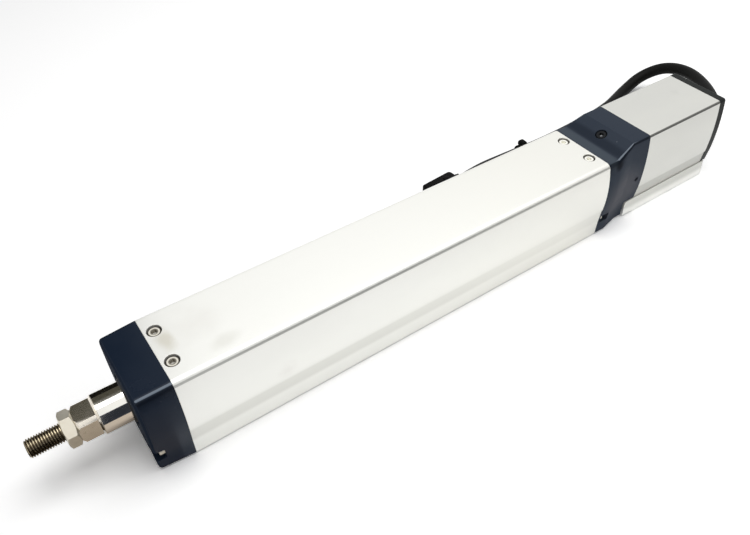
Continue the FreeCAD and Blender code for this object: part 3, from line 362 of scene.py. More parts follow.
# the motor's cover is the same metal, a little greyer, with painted shade low on its sides and a painted dark
# reflection along its near top edge
coverLook = dict(bodyLook, colour=onScreen(216, 216, 210), tint=onScreen(209, 209, 204), layers=[
    # painted shade: a darker band low on the sides
    {"group": belt, "amount": 1.0, "colour": onScreen(190, 190, 184),
     "values": {"Middle": 0.0162, "Half": 0.004, "Soft": 0.003}},
    # painted dark reflection: a dark line along the near top edge
    {"group": facing, "amount": 0.85, "colour": onScreen(84, 84, 80),
     "values": facingLine(40.0, 17.0, 30.0)},
    {"group": patch, "amount": 0.2, "colour": onScreen(188, 188, 182),
     "values": {"Centre": (-0.246, -0.004, 0.063), "Radius": 0.008, "Ragged": 0.8, "Scale": 260.0}}])
railLook = {
    "colour": onScreen(254, 254, 250), "tint": onScreen(247, 247, 243), "rough": (0.45, 0.55),
    "spots": evenSpots, "grain": castGrain, "depth": 0.008, "edge": 0.3, "fixed": {"Metallic": 0.6},
    # painted shade: a darker band along the rail's top, under the cover
    "layers": [{"group": belt, "amount": 1.0, "colour": onScreen(214, 214, 208),
                "values": {"Middle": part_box("motor_base_rail")[1].z, "Half": 0.004, "Soft": 0.005}}],
}
bracketLook = {
    "colour": onScreen(25, 36, 52), "tint": onScreen(30, 40, 55), "rough": (0.2, 0.28),
    "spots": {"Scale": 30.0, "Low": 0.3, "High": 0.7}, "grain": castGrain, "depth": 0.006, "edge": 0.35,
    "fixed": {"Metallic": 0.0, "Specular IOR Level": 0.15},
    "dull": {"rough": 1.0, "values": {"Toward": (1.0, 0.0, 0.0), "Core": 0.5, "Edge": 0.2}},
    "wear": {"amount": 0.3, "colour": onScreen(92, 98, 108)},
    "layers": [
        # painted dark reflection: a dark band along the near top edge, below the highlight
        {"group": facing, "amount": 0.75, "colour": onScreen(8, 13, 22),
         "values": facingLine(32.0, 11.0, 20.0, 0.06)},
        # painted highlight: a pale line along the near top edge
        {"group": facing, "amount": 0.6, "colour": onScreen(150, 162, 176),
         "values": facingLine(62.0, 5.0, 11.0, 0.06)}],
}
housingLook = dict(
    bracketLook, colour=onScreen(50, 58, 70), tint=onScreen(55, 62, 73), rough=(0.5, 0.58),
    fixed={"Metallic": 0.0, "Specular IOR Level": 0.05},
    layers=[
        # painted light: the flange's top lighter than the slope behind it
        {"group": patch, "amount": 0.6, "colour": onScreen(82, 90, 98),
         "values": {"Centre": (-0.1525, 0.0, 0.0585), "Squeeze": (4.6, 0.5, 2.6), "Radius": 0.03,
                    "Ragged": 0.0}},
        # painted shade: dark where the slope rises from the flange
        {"group": patch, "amount": 0.6, "colour": onScreen(26, 33, 44),
         "values": {"Centre": (-0.1608, 0.0, 0.0585), "Squeeze": (5.4, 0.5, 2.6), "Radius": 0.03,
                    "Ragged": 0.0}},
        # painted highlight: a soft lighter glow low on the near side
        {"group": patch, "amount": 0.55, "colour": onScreen(98, 98, 104),
         "values": {"Centre": (-0.169, 0.0285, 0.026), "Radius": 0.029, "Ragged": 0.2, "Scale": 60.0}},
        # painted shade: a dark spot in the corner at the flange's near end
        {"group": patch, "amount": 0.85, "colour": onScreen(10, 14, 22),
         "values": {"Centre": (-0.1575, 0.0262, 0.0535), "Radius": 0.0055, "Ragged": 0.2, "Scale": 300.0}},
        # painted dark reflection: a dark line along the near top edges
        {"group": facing, "amount": 0.75, "colour": onScreen(12, 17, 26),
         "values": facingLine(36.0, 14.0, 26.0, 0.05)},
        # painted highlight: a pale line along the slope's near edge
        {"group": facing, "amount": 0.65, "colour": onScreen(150, 160, 172),
         "values": facingLine(60.0, 5.0, 11.0, 0.275)},
        {"group": patch, "amount": 0.8, "colour": onScreen(150, 154, 160),
         "values": {"Centre": (-0.1668, 0.0125, 0.0605), "Radius": 0.0009, "Ragged": 0.3, "Scale": 900.0}}])
capLook = dict(bracketLook, colour=onScreen(30, 33, 32), tint=onScreen(37, 40, 39), rough=(0.34, 0.44),
               fixed={"Metallic": 0.0, "Specular IOR Level": 0.06}, layers=[])
chromeLook = {
    "colour": onScreen(245, 243, 236), "tint": onScreen(238, 236, 229), "rough": (0.05, 0.1),
    "spots": evenSpots, "grain": turnedLines, "depth": 0.0008, "edge": 0.1, "fixed": {"Metallic": 1.0},
}
flatsLook = {
    "colour": onScreen(238, 232, 220), "tint": onScreen(226, 219, 206), "rough": (0.16, 0.22),
    "spots": {"Scale": 130.0, "Low": 0.35, "High": 0.7}, "grain": turnedLines, "depth": 0.0008, "edge": 0.12,
    "fixed": {"Metallic": 1.0},
    "layers": [{"group": scratches, "amount": 0.45, "colour": onScreen(112, 100, 90),
                "values": {"Scale": 260.0, "Stretch": (1.0, 0.35, 0.6), "Width": 0.03, "Broken": 0.56}}],
}
studLook = {
    "colour": onScreen(112, 100, 80), "tint": onScreen(94, 83, 65), "rough": (0.14, 0.22),
    "spots": {"Scale": 220.0, "Low": 0.35, "High": 0.7}, "grain": turnedLines, "depth": 0.002, "edge": 0.06,
    "fixed": {"Metallic": 0.95},
    # thread crests lighter: partly rubbed bare, partly a painted highlight along them
    "layers": [{"group": fromAxis, "amount": 0.9, "colour": onScreen(196, 183, 154),
                "values": {"Inner": 0.0044, "Outer": 0.0049}},
               # painted dark reflection: the stud darker where it faces the near side
               {"group": facing, "amount": 0.75, "colour": onScreen(58, 51, 40),
                "values": facingLine(14.0, 30.0, 55.0)}],
}
nutLook = {
    "colour": onScreen(229, 223, 207), "tint": onScreen(219, 212, 195), "rough": (0.3, 0.38),
    "spots": {"Scale": 160.0, "Low": 0.35, "High": 0.7}, "grain": mouldGrain, "depth": 0.002, "edge": 0.2,
    "fixed": {"Metallic": 0.85},
}
screwLook = {
    "colour": onScreen(244, 240, 228), "tint": onScreen(226, 221, 207), "rough": (0.26, 0.38),
    "spots": {"Scale": 320.0, "Low": 0.35, "High": 0.7}, "grain": mouldGrain, "depth": 0.002, "edge": 0.15,
    "fixed": {"Metallic": 0.5},
}
# painted shadow: a dark ring round the rim of each top screw's head, where the counterbore shades it
rimShadow = {"group": rings, "amount": 0.95, "colour": onScreen(54, 48, 37),
           "values": {"Middle": 0.0034, "Half": 0.0004, "Soft": 0.0003}}
frontScrewLook = dict(screwLook, layers=[
    rimShadow,
    # painted shade: a dark ring on the walls of the hex socket
    {"group": rings, "amount": 0.75, "colour": onScreen(74, 66, 50),
     "values": {"Middle": 0.0017, "Half": 0.0002, "Soft": 0.0003}},
    # painted highlight: a white spot at the bottom of the socket
    {"group": rings, "amount": 1.0, "colour": onScreen(255, 254, 248),
     "values": {"Middle": 0.0, "Half": 0.0010, "Soft": 0.0002}}])
rearScrewLook = dict(screwLook, layers=[
    rimShadow,
    # painted light: the head's middle whitened over the shade of its socket
    {"group": rings, "amount": 1.0, "colour": onScreen(255, 254, 246),
     "values": {"Middle": 0.0, "Half": 0.0026, "Soft": 0.0002}}])
plugLook = {
    "colour": onScreen(12, 14, 18), "tint": onScreen(18, 20, 24), "rough": (0.32, 0.46),
    "spots": {"Scale": 300.0, "Low": 0.35, "High": 0.7}, "grain": mouldGrain, "depth": 0.002, "edge": 0.15,
    "fixed": {"Metallic": 0.0, "Specular IOR Level": 0.12},
    # painted highlight: a pale dot in the middle of the plug's socket
    "layers": [{"group": patch, "amount": 1.0, "colour": onScreen(235, 238, 242),
                "values": {"Centre": (-0.1663, 0.0, 0.0585), "Radius": 0.0019, "Ragged": 0.2,
                           "Scale": 900.0}}],
}
jacketLook = {
    "colour": onScreen(11, 11, 10), "tint": onScreen(16, 16, 14), "rough": (0.42, 0.55),
    "spots": {"Scale": 60.0, "Low": 0.35, "High": 0.7}, "grain": mouldGrain, "depth": 0.006, "edge": 0.1,
    "fixed": {"Metallic": 0.0, "Specular IOR Level": 0.08},
}
mouldedLook = {
    "colour": onScreen(9, 9, 9), "tint": onScreen(13, 13, 13), "rough": (0.45, 0.58),
    "spots": evenSpots, "grain": mouldGrain, "depth": 0.01, "edge": 0.2,
    "fixed": {"Metallic": 0.0, "Specular IOR Level": 0.04},
}
rubberLook = {
    "colour": onScreen(26, 26, 27), "tint": onScreen(34, 34, 34), "rough": (0.6, 0.75),
    "spots": evenSpots, "grain": castGrain, "depth": 0.01, "edge": 0.2, "fixed": {"Metallic": 0.0},
}
steelLook = {
    "colour": onScreen(205, 206, 208), "tint": onScreen(190, 191, 194), "rough": (0.16, 0.26),
    "spots": evenSpots, "grain": turnedLines, "depth": 0.002, "edge": 0.15, "fixed": {"Metallic": 1.0},
}
machinedLook = dict(steelLook, colour=onScreen(214, 215, 216), tint=onScreen(201, 202, 203),
                    rough=(0.28, 0.4))
bronzeLook = dict(steelLook, colour=onScreen(196, 156, 100), tint=onScreen(178, 139, 88), rough=(0.24, 0.36))
lamellaLook = dict(steelLook, colour=onScreen(108, 108, 112), tint=onScreen(88, 88, 92), rough=(0.4, 0.55),
                   grain=dict(turnedLines, Scale=2600.0), depth=0.02)
wireLook = dict(steelLook, colour=onScreen(190, 112, 66), tint=onScreen(160, 88, 50), rough=(0.24, 0.36),
                grain={"Scale": 1300.0, "Stretch": (0.05, 1.0, 1.0), "Low": 0.3, "High": 0.7}, depth=0.05)
spiderLook = dict(rubberLook, colour=onScreen(176, 52, 42), tint=onScreen(158, 44, 36))
padLook = dict(mouldedLook, colour=onScreen(226, 222, 210), tint=onScreen(215, 211, 198))
boardLook = dict(mouldedLook, colour=onScreen(30, 92, 58), tint=onScreen(24, 80, 50), rough=(0.3, 0.4))

finishes = {
    "bodySkin": bodyLook, "coverSkin": coverLook, "railMetal": railLook, "bracketCoat": bracketLook,
    "housingCoat": housingLook, "capCoat": capLook, "rodChrome": chromeLook, "groundFlats": flatsLook,
    "darkStud": studLook, "nutPlate": nutLook, "screwPlate": screwLook, "frontScrewPlate": frontScrewLook,
    "rearScrewPlate": rearScrewLook, "plugBlack": plugLook,
    "cableJacket": jacketLook, "mouldedBlack": mouldedLook, "softRubber": rubberLook,
    "bearingSteel": steelLook, "machinedMetal": machinedLook, "bushBronze": bronzeLook,
    "lamellaSteel": lamellaLook, "windingWire": wireLook, "spiderRubber": spiderLook,
    "padPlastic": padLook, "boardGreen": boardLook,
}
finish = {name: makeFinish(name, look) for name, look in finishes.items()}
print("finishes made:", len(finish))


# mesh tools for the new pieces
mergeReach = 1e-6
cutReach = 1e-7


# the lengths of a piece, in metres
def inMetres(sizes):
    return {key: value * mm for key, value in sizes.items() if isinstance(value, float)}


# turns an outline round an axis along x, or winds it into a screw that gains lead each turn
def turnProfile(bm, outline, steps=64, centre=(0.0, 0.0), turns=1, lead=0.0):
    y, z = centre
    verts = [bm.verts.new((x, y, z + radius)) for x, radius in outline]
    chain = [bm.edges.new(pair) for pair in zip(verts, verts[1:])]
    bmesh.ops.spin(bm, geom=verts + chain, cent=(0.0, y, z), axis=(1.0, 0.0, 0.0),
                   dvec=(lead / steps, 0.0, 0.0), angle=2 * math.pi * turns, steps=steps * turns,
                   use_merge=lead == 0.0)


def bevelEdges(bm, rims, width, segments):
    bmesh.ops.bevel(bm, geom=rims, offset=width, offset_type="OFFSET", affect="EDGES", segments=segments,
                    profile=0.5, material=-1, clamp_overlap=True)


def addBlock(bm, low, high, edge=0.0, segments=2):
    made = bmesh.ops.create_cube(bm, size=1.0)["verts"]
    size = [b - a for a, b in zip(low, high)]
    middle = [(a + b) / 2 for a, b in zip(low, high)]
    bmesh.ops.scale(bm, vec=size, verts=made)
    bmesh.ops.translate(bm, vec=middle, verts=made)
    if edge > 0:
        bevelEdges(bm, list({rim for vert in made for rim in vert.link_edges}), edge, segments)


def bevelSharp(bm, width, angle=28.0, segments=2):
    bm.normal_update()
    sharp = [rim for rim in bm.edges
             if len(rim.link_faces) == 2 and rim.calc_face_angle(0.0) > math.radians(angle)]
    bevelEdges(bm, sharp, width, segments)


def cutFlat(bm, place, outward):
    whole = bm.verts[:] + bm.edges[:] + bm.faces[:]
    cut = bmesh.ops.bisect_plane(bm, geom=whole, dist=cutReach, plane_co=place, plane_no=outward,
                                 clear_outer=True)
    rims = [item for item in cut["geom_cut"] if isinstance(item, bmesh.types.BMEdge)]
    bmesh.ops.holes_fill(bm, edges=rims, sides=0)


def keepPiece(name, bm, material, body, replaced, crease=35.0):
    bmesh.ops.remove_doubles(bm, verts=bm.verts, dist=mergeReach)
    bmesh.ops.recalc_face_normals(bm, faces=bm.faces)
    mesh = bpy.data.meshes.new(name)
    bm.to_mesh(mesh)
    bm.free()
    mesh.polygons.foreach_set("use_smooth", [True] * len(mesh.polygons))
    mesh.set_sharp_from_angle(angle=math.radians(crease))
    mesh.materials.append(material)
    piece = bpy.data.objects.new(name, mesh)
    scene.collection.objects.link(piece)
    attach(piece, body)
    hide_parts(replaced)
    return piece


# cable: the route's points, as in the part's source
cable = {
    "diameter": 9.4,
    "length": 350.5,
    "route": [
        (-285.5, 0.0, 32.0), (-304.0, 0.0, 32.0), (-322.7, -19.9, 31.4), (-338.8, -48.0, 29.0),
        (-339.3, -72.0, 23.7), (-326.6, -85.7, 12.8), (-304.2, -84.0, 5.4), (-272.5, -73.6, 4.9),
        (-232.0, -69.5, 4.9), (-190.0, -67.0, 5.7), (-150.0, -68.0, 6.4), (-121.0, -68.0, 7.25),
        (-100.0, -64.0, 7.25),
    ],
}


def makeCable():
    curve = bpy.data.curves.new("motorCable", "CURVE")
    curve.dimensions = "3D"
    curve.bevel_depth = cable["diameter"] / 2 * mm
    curve.bevel_resolution = 6
    curve.resolution_u = 14
    curve.use_fill_caps = True
    spline = curve.splines.new("NURBS")
    spline.points.add(len(cable["route"]) - 1)
    for point, place in zip(spline.points, cable["route"]):
        point.co = (*(Vector(place) * mm), 1.0)
    spline.order_u = 3
    spline.use_endpoint_u = True
    curve.materials.append(finish["cableJacket"])
    piece = bpy.data.objects.new("motorCable", curve)
    scene.collection.objects.link(piece)
    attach(piece, "housing")
    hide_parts("motor_cable")
    return piece


def layAlong(bm, place, turn):
    swing = Matrix.Rotation(math.radians(turn), 4, "Z")
    bmesh.ops.transform(bm, matrix=Matrix.Translation(Vector(place) * mm) @ swing, verts=bm.verts)


# connector on the cable's end: shell with a rounded back, a mouth and pins, ribbed boot, latch
connector = {
    "place": (-100.0, -64.0, 7.25), "turn": 4.9, "length": 28.0, "width": 18.0, "height": 14.5,
    "shellBack": -1.0, "backRound": 4.2, "edge": 1.2, "mouthWall": 1.8, "mouthDepth": 9.0,
    "boot": 8.0, "bootStart": -4.5, "bootBack": 0.56, "bootFront": 0.64, "ribs": 3,
    "ribEnd": 0.7, "ribRound": 0.25, "neckStart": 0.5, "neckEnd": 1.2, "neckShare": 0.9,
    "pinRows": (-3.0, 3.0), "pinColumns": (-5.0, 0.0, 5.0), "pin": 1.1, "pinLength": 7.0,
    "latchLength": 16.0, "latchWidth": 7.0, "latchHeight": 1.8, "latchDrop": 0.5, "latchEdge": 0.4,
    "padLength": 5.0, "padRound": 0.8, "padOverhang": 0.8,
}


def makeConnector():
    part = inMetres(connector)
    halfWidth, halfHeight = part["width"] / 2, part["height"] / 2
    bm = bmesh.new()
    addBlock(bm, (part["shellBack"], -halfWidth, -halfHeight), (part["length"], halfWidth, halfHeight))
    back = [rim for rim in bm.edges if max(vert.co.x for vert in rim.verts) < part["boot"]]
    bevelEdges(bm, back, part["backRound"], segments=5)
    bevelSharp(bm, part["edge"], angle=40.0, segments=3)
    bm.normal_update()
    front = max(bm.faces, key=lambda face: face.normal.x * face.calc_area())
    room = part["mouthWall"] - part["edge"] / 2
    bmesh.ops.inset_region(bm, faces=[front], thickness=room, depth=0.0, use_even_offset=True)
    floor = bmesh.ops.extrude_discrete_faces(bm, faces=[front])["faces"][0]
    bmesh.ops.translate(bm, vec=(-part["mouthDepth"], 0.0, 0.0), verts=floor.verts)
    deep = part["length"] - part["mouthDepth"]
    half = part["pin"] / 2
    for y in connector["pinColumns"]:
        for z in connector["pinRows"]:
            addBlock(bm, (deep - half, y * mm - half, z * mm - half),
                     (deep + part["pinLength"], y * mm + half, z * mm + half), half / 2, segments=1)
    # boot: rounded ribs that widen towards the shell, with narrower necks between them
    pitch = (part["shellBack"] + part["edge"] - part["bootStart"]) / connector["ribs"]
    step = (connector["bootFront"] - connector["bootBack"]) / connector["ribs"]
    for i in range(connector["ribs"]):
        share = connector["bootBack"] + step * (i + 1)
        neck = connector["neckShare"] * share
        rear = part["bootStart"] + pitch * i
        addBlock(bm, (rear, -share * halfWidth, -share * halfHeight),
                 (rear + pitch * connector["ribEnd"], share * halfWidth, share * halfHeight),
                 pitch * connector["ribRound"])
        addBlock(bm, (rear + pitch * connector["neckStart"], -neck * halfWidth, -neck * halfHeight),
                 (rear + pitch * connector["neckEnd"], neck * halfWidth, neck * halfHeight))
    # latch with a rounded thumb pad
    bottom = halfHeight - part["edge"]
    top = halfHeight + part["latchHeight"]
    half = part["latchWidth"] / 2
    wide = half + part["padOverhang"]
    addBlock(bm, (part["boot"], -half, bottom),
             (part["boot"] + part["latchLength"], half, top - part["latchDrop"]), part["latchEdge"])
    addBlock(bm, (part["boot"], -wide, bottom), (part["boot"] + part["padLength"], wide, top),
             part["padRound"], segments=4)
    layAlong(bm, connector["place"], connector["turn"])
    return keepPiece("cableConnector", bm, finish["mouldedBlack"], "housing",
                     "cable_connector")


# cable tie: ribbed strap, head and the cut end of the strap
tie = {
    "place": (-167.0, -67.75, 6.08), "turn": -2.0, "inner": 4.74, "thickness": 1.2, "width": 4.5,
    "edge": 0.3, "headLength": 6.5, "headWidth": 5.5, "headHeight": 5.0, "headLift": 0.8, "headRound": 1.7,
    "neckShare": 0.6, "tail": 6.0, "ribs": 5, "ribPitch": 1.0, "ribLength": 0.5, "ribDepth": 0.2,
    "ribEdge": 0.08, "ribShare": 0.7,
}


def makeTie():
    part = inMetres(tie)
    inner = part["inner"]
    outer = inner + part["thickness"]
    half = part["width"] / 2
    soft = part["edge"]
    bm = bmesh.new()
    turnProfile(bm, [(-half, inner), (-half, outer - soft), (soft - half, outer), (half - soft, outer),
                     (half, outer - soft), (half, inner), (-half, inner)], steps=40)
    bottom = inner + part["thickness"] / 2
    reach = part["headLength"] / 2
    wide = part["headWidth"] / 2
    neck = tie["neckShare"]
    addBlock(bm, (-wide * neck, -reach * neck, bottom),
             (wide * neck, reach * neck, bottom + part["headHeight"] / 2))
    addBlock(bm, (-wide, -reach, bottom + part["headLift"]), (wide, reach, bottom + part["headHeight"]),
             part["headRound"], segments=4)
    top = outer + part["thickness"]
    addBlock(bm, (-half, reach - soft, outer), (half, reach + part["tail"], top), soft)
    across = half * tie["ribShare"]
    for i in range(tie["ribs"]):
        y = reach + part["ribPitch"] * (i + 1)
        addBlock(bm, (-across, y, top - part["ribDepth"]), (across, y + part["ribLength"], top),
                 part["ribEdge"], segments=1)
    layAlong(bm, tie["place"], tie["turn"])
    return keepPiece("cableTie", bm, finish["mouldedBlack"], "housing", "cable_tie")


motorCable = makeCable()
cableConnector = makeConnector()
cableTie = makeTie()
print("cable laid with its connector and tie")

# rod end: a shoulder, wrench flats and a screw-cut stud
rodEnd = {
    "plugRadius": 6.9, "plugLength": 18.0, "shoulderRadius": 11.0, "shoulderLength": 1.2,
    "shoulderBreak": 0.25, "breakSlope": 0.6, "flatsRadius": 9.8, "flatsAcross": 15.6, "flatsChamfer": 1.5,
    "edge": 0.14,
}
stud = {
    "radius": 5.0, "pitch": 1.25, "depth": 0.767, "crest": 0.38, "root": 0.2, "chamfer": 0.8, "steps": 48,
    "centreHole": 1.6, "centreDepth": 1.8, "turnsInNut": 3, "runOut": 1.2, "shankOverlap": 0.5,
    "shankTurns": 2,
}
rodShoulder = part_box("rod_tube")[1].x
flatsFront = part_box("rod_lock_nut")[0].x
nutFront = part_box("rod_lock_nut")[1].x
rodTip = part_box("rod_end")[1].x
rodCentre = (0.0, axisZ)


def makeRodCollar():
    part = inMetres(rodEnd)
    flatsRear = rodShoulder + part["shoulderLength"]
    radius, chamfer = part["flatsRadius"], part["flatsChamfer"]
    bm = bmesh.new()
    turnProfile(bm, [(flatsRear, 0.0), (flatsRear, radius), (flatsFront - chamfer, radius),
                     (flatsFront, radius - chamfer), (flatsFront, 0.0)], steps=96, centre=rodCentre)
    bmesh.ops.remove_doubles(bm, verts=bm.verts, dist=mergeReach)
    bmesh.ops.recalc_face_normals(bm, faces=bm.faces)
    half = part["flatsAcross"] / 2
    for y, z in ((1, 0), (-1, 0), (0, 1), (0, -1)):
        cutFlat(bm, (0.0, y * half, axisZ + z * half), (0.0, y, z))
    bevelSharp(bm, part["edge"])
    plugRear = rodShoulder - part["plugLength"]
    shoulder, softened = part["shoulderRadius"], part["shoulderBreak"]
    turnProfile(bm, [(plugRear, 0.0), (plugRear, part["plugRadius"]), (rodShoulder, part["plugRadius"]),
                     (rodShoulder, shoulder - softened),
                     (rodShoulder + softened, shoulder - softened * rodEnd["breakSlope"]),
                     (flatsRear, radius), (flatsRear, 0.0)], steps=96, centre=rodCentre)
    return keepPiece("rodCollar", bm, finish["groundFlats"], "rod", "rod_end", crease=12.0)


def makeRodStud():
    part = inMetres(stud)
    pitch, crest, root = part["pitch"], part["radius"], part["radius"] - part["depth"]
    flank = (pitch - part["crest"] - part["root"]) / 2
    start = nutFront - stud["turnsInNut"] * pitch
    rise = part["root"] / 2
    outline = [(0.0, root), (rise, root), (rise + flank, crest), (rise + flank + part["crest"], crest),
               (pitch - rise, root), (pitch, root)]
    turns = math.ceil((rodTip - start) / pitch) + 1
    bm = bmesh.new()
    turnProfile(bm, [(start + x, radius) for x, radius in outline], stud["steps"], rodCentre, turns, pitch)
    bmesh.ops.remove_doubles(bm, verts=bm.verts, dist=mergeReach)
    cutFlat(bm, (start + stud["runOut"] * pitch, 0.0, axisZ), (-1.0, 0.0, 0.0))
    cutFlat(bm, (rodTip, 0.0, axisZ), (1.0, 0.0, 0.0))
    for vert in bm.verts:
        past = vert.co.x - (rodTip - part["chamfer"])
        away = math.hypot(vert.co.y, vert.co.z - axisZ)
        if past > 0 and away > crest - past:
            share = (crest - past) / away
            vert.co.y *= share
            vert.co.z = axisZ + (vert.co.z - axisZ) * share
    # centre hole left by the lathe
    bm.normal_update()
    tip = max(bm.faces, key=lambda face: face.calc_area() * face.normal.x)
    bmesh.ops.inset_region(bm, faces=[tip], thickness=crest - part["chamfer"] - part["centreHole"],
                           depth=0.0, use_even_offset=True)
    hole = bmesh.ops.poke(bm, faces=[tip])["verts"]
    bmesh.ops.translate(bm, vec=(-part["centreDepth"], 0.0, 0.0), verts=hole)
    # plain shank inside the nut
    shankRear = flatsFront - part["shankOverlap"]
    shankFront = start + stud["shankTurns"] * pitch
    shank = [(shankRear, 0.0), (shankRear, root), (shankFront, root), (shankFront, 0.0)]
    turnProfile(bm, shank, steps=48, centre=rodCentre)
    return keepPiece("rodStud", bm, finish["darkStud"], "rod", "rod_end", crease=40.0)


makeRodCollar()
makeRodStud()
print("rod end turned and threaded")

# strain relief where the cable leaves the end cap; a rib's outline is in shares of its pitch and a drop
gland = {
    "height": 32.0, "flangeRadius": 8.0, "flange": 2.0, "flangeBreak": 0.5, "neckRadius": 5.58, "lip": 1.0,
    "lipLength": 1.5, "baseRadius": 7.0, "tipRadius": 5.6, "tipBreak": 0.5, "length": 14.0, "ribs": 5,
    "ribOutline": [(0.0, 0.9), (0.35, 0.9), (0.42, 0.2), (0.5, 0.0), (0.88, 0.0), (0.98, 0.25)],
}


def makeGland():
    part = inMetres(gland)
    capRear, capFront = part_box("motor_end_cap")[0].x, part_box("motor_end_cap")[1].x
    neck, lip, flange = part["neckRadius"], part["neckRadius"] + part["lip"], part["flangeRadius"]
    lipFront = capFront + part["lipLength"]
    flangeRear = capRear - part["flange"]
    outline = [(lipFront, 0.0), (lipFront, lip), (capFront, lip), (capFront, neck), (capRear, neck),
               (capRear, flange), (flangeRear + part["flangeBreak"], flange),
               (flangeRear, flange - part["flangeBreak"])]
    pitch = part["length"] / gland["ribs"]
    for i in range(gland["ribs"]):
        rear = flangeRear - pitch * i
        radius = part["baseRadius"] + (part["tipRadius"] - part["baseRadius"]) * i / gland["ribs"]
        outline += [(rear - pitch * share, radius - drop * mm) for share, drop in gland["ribOutline"]]
    tip = flangeRear - part["length"]
    outline += [(tip, part["tipRadius"] - part["tipBreak"]), (tip, 0.0)]
    bm = bmesh.new()
    turnProfile(bm, outline, steps=56, centre=(0.0, part["height"]))
    return keepPiece("cableGland", bm, finish["softRubber"], "housing", "cable_gland")


makeGland()
print("gland made")

# what each CAD node is finished with, also where a piece replaces it
nodeFinish = {
    "bodySkin": ["body_extrusion"],
    "coverSkin": ["motor_cover"],
    "railMetal": ["motor_base_rail"],
    "bracketCoat": ["front_bracket"],
    "housingCoat": ["coupling_housing"],
    "capCoat": ["motor_end_cap"],
    "rodChrome": ["rod_tube"],
    "nutPlate": ["rod_lock_nut"],
    "frontScrewPlate": ["front_top_screws"],
    "rearScrewPlate": ["rear_top_screws"],
    "screwPlate": ["front_lower_screws", "housing_lower_screws", "rail_screws", "end_cap_screws"],
    "plugBlack": ["access_plug", "motor_screws", "ball_nut_screws", "rod_set_screws", "hub_set_screws"],
    "softRubber": ["rod_wiper", "front_bumper", "rear_bumper", "cable_gland"],
    "groundFlats": ["rod_end"],
    "bushBronze": ["rod_bush"],
    "machinedMetal": ["bearing_block", "bearing_retainer", "nut_carrier", "screw_hub", "motor_hub",
                      "motor_front_flange", "motor_rear_flange"],
    "bearingSteel": ["screw_bearing_outer_rings", "screw_bearing_inner_rings", "motor_bearing_outer_rings",
                     "motor_bearing_inner_rings", "screw_shaft", "ball_nut", "bearing_lock_nut",
                     "motor_shaft", "tip_clip", "encoder_disc"],
    "lamellaSteel": ["motor_stator", "motor_rotor"],
    "windingWire": ["motor_windings"],
    "spiderRubber": ["coupling_spider"],
    "padPlastic": ["guide_pads", "screw_tip_bush"],
    "mouldedBlack": ["encoder_cover", "cable_connector", "cable_tie"],
    "boardGreen": ["encoder_board"],
    "cableJacket": ["motor_cable"],
}
# nodes whose gentle bends need their own crease angle
smoothed = {"coupling_housing": (18.0, "CORNER_ANGLE")}


def dressNode(name, material, angle=32.0, mode="FACE_AREA"):
    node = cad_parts[name]
    node.data.materials.clear()
    node.data.materials.append(material)
    node.data.polygons.foreach_set("use_smooth", [True] * len(node.data.polygons))
    weld = node.modifiers.new("weld", "WELD")
    weld.merge_threshold = mergeReach
    crease = node.modifiers.new("creases", "EDGE_SPLIT")
    crease.split_angle = math.radians(angle)
    even = node.modifiers.new("evenNormals", "WEIGHTED_NORMAL")
    even.mode = mode
    even.keep_sharp = True


for name, nodes in nodeFinish.items():
    for node in nodes:
        dressNode(node, finish[name], *smoothed.get(node, ()))
print("CAD nodes dressed")

# studio: pale floor, overhead softbox, and cards that only reflections see
studio = {
    "floorColour": onScreen(238, 238, 238), "floorSeen": (1.38, 3.1), "floorFade": (0.7, 2.6), "reach": 6.0,
    "floorDrop": -0.0002, "cardLift": 0.001, "worldLevel": 0.33,
    "lamps": {
        "softbox": {"place": (-0.27, -0.04, 1.1), "aim": (-0.27, -0.04, 0.0), "size": (1.1, 0.72),
                    "power": 7.3},
        "nearFill": {"place": (-0.1, 0.9, 0.45), "aim": (0.0, 0.0, 0.03), "size": (0.8, 0.5),
                     "power": 1.25},
    },
    "standing": {
        "nearCard": {"y": 1.2, "along": (-3.2, 0.0), "up": (0.0, 1.0), "colour": onScreen(50, 50, 52)},
        "rodCard": {"y": 0.12, "along": (0.155, 0.189), "up": (0.0, 0.12), "colour": onScreen(66, 70, 80)},
        "farCard": {"y": -0.12, "along": (0.148, 0.2), "up": (0.0, 0.11), "colour": onScreen(36, 34, 30)},
        "midCard": {"y": -0.12, "along": (0.148, 0.24), "up": (0.11, 0.27), "colour": onScreen(98, 95, 84)},
        "overCard": {"y": -0.12, "along": (0.148, 0.2), "up": (0.27, 0.8), "colour": onScreen(116, 114, 106)},
        "studCard": {"y": -0.12, "along": (0.24, 0.207), "up": (0.0, 0.11), "colour": onScreen(40, 36, 30)},
        "stubCard": {"y": 0.12, "along": (0.207, 0.28), "up": (0.0, 0.075), "colour": onScreen(44, 38, 30)},
    },
    "lying": {
        "warmCard": {"along": (0.158, 0.187), "out": (0.005, 0.25), "colour": onScreen(222, 208, 194)},
        "beigeCard": {"along": (0.187, 0.206), "out": (0.005, 0.25), "colour": onScreen(196, 184, 170)},
        "brownCard": {"along": (0.207, 0.28), "out": (0.003, 0.12), "colour": onScreen(64, 56, 44)},
    },
}


def paperMaterial(name, colour):
    material = bpy.data.materials.new(name)
    material.use_nodes = True
    tree = material.node_tree
    tree.nodes.clear()
    matt = newNode(tree, "ShaderNodeBsdfDiffuse", None, {"Color": colour})
    newNode(tree, "ShaderNodeOutputMaterial", None, {"Surface": matt.outputs[0]})
    return material


def seenRays(tree):
    path = newNode(tree, "ShaderNodeLightPath").outputs
    seen = maths(tree, "MAXIMUM", path["Is Camera Ray"], path["Is Glossy Ray"])
    return maths(tree, "MAXIMUM", seen, path["Is Transmission Ray"])


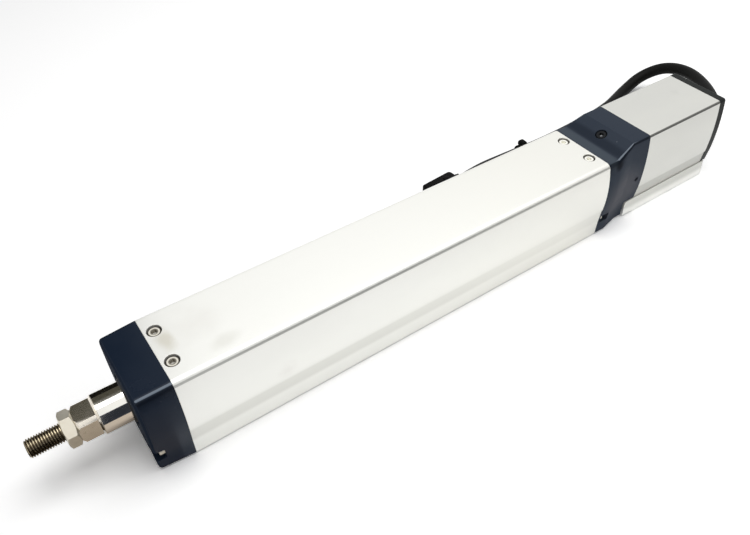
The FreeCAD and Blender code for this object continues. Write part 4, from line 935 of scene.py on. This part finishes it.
# the floor looks lighter than the light it gives back, more so far off
def floorMaterial():
    material = paperMaterial("floorPaper", studio["floorColour"])
    tree = material.node_tree
    (near, far), (start, end) = studio["floorSeen"], studio["floorFade"]
    seen = remap(tree, vectors(tree, "LENGTH", objectPlace(tree)),
                 {"From Min": start, "From Max": end, "To Min": near, "To Max": far})
    colour = mixColours(tree, seenRays(tree), studio["floorColour"], seen)
    feed(tree, tree.nodes["Diffuse BSDF"].inputs["Color"], colour)
    return material


def standingCorners(along, up, y):
    (left, right), (low, high) = along, up
    return [(left, y, low), (right, y, low), (right, y, high), (left, y, high)]


def lyingCorners(along, out, z):
    (left, right), (near, far) = along, out
    return [(left, near, z), (right, near, z), (right, far, z), (left, far, z)]


def addPanel(name, corners, material):
    bm = bmesh.new()
    bm.faces.new([bm.verts.new(corner) for corner in corners])
    mesh = bpy.data.meshes.new(name)
    bm.to_mesh(mesh)
    bm.free()
    mesh.materials.append(material)
    panel = bpy.data.objects.new(name, mesh)
    scene.collection.objects.link(panel)
    return panel


def addCard(name, corners, colour):
    panel = addPanel(name, corners, paperMaterial(name + "Paper", colour))
    panel.visible_camera = False
    panel.visible_diffuse = False
    panel.visible_shadow = False


def addLamp(name, lamp):
    light = bpy.data.lights.new(name, "AREA")
    light.shape = "RECTANGLE"
    light.size, light.size_y = lamp["size"]
    light.energy = lamp["power"]
    box = bpy.data.objects.new(name, light)
    box.location = lamp["place"]
    box.rotation_euler = aimed(lamp)
    box.visible_glossy = name == "softbox"
    scene.collection.objects.link(box)


def makeStudio():
    world = bpy.data.worlds.new("studio")
    scene.world = world
    world.use_nodes = True
    tree = world.node_tree
    sky = tree.nodes["Background"]
    sky.inputs["Color"].default_value = (1.0, 1.0, 1.0, 1.0)
    level = remap(tree, seenRays(tree), {"To Min": studio["worldLevel"], "To Max": 1.0})
    feed(tree, sky.inputs["Strength"], level)
    sides = (-studio["reach"], studio["reach"])
    addPanel("floor", lyingCorners(sides, sides, studio["floorDrop"]), floorMaterial())
    for name, card in studio["standing"].items():
        addCard(name, standingCorners(card["along"], card["up"], card["y"]), card["colour"])
    for name, card in studio["lying"].items():
        addCard(name, lyingCorners(card["along"], card["out"], studio["cardLift"]), card["colour"])
    for name, lamp in studio["lamps"].items():
        addLamp(name, lamp)


makeStudio()
print("studio lit")
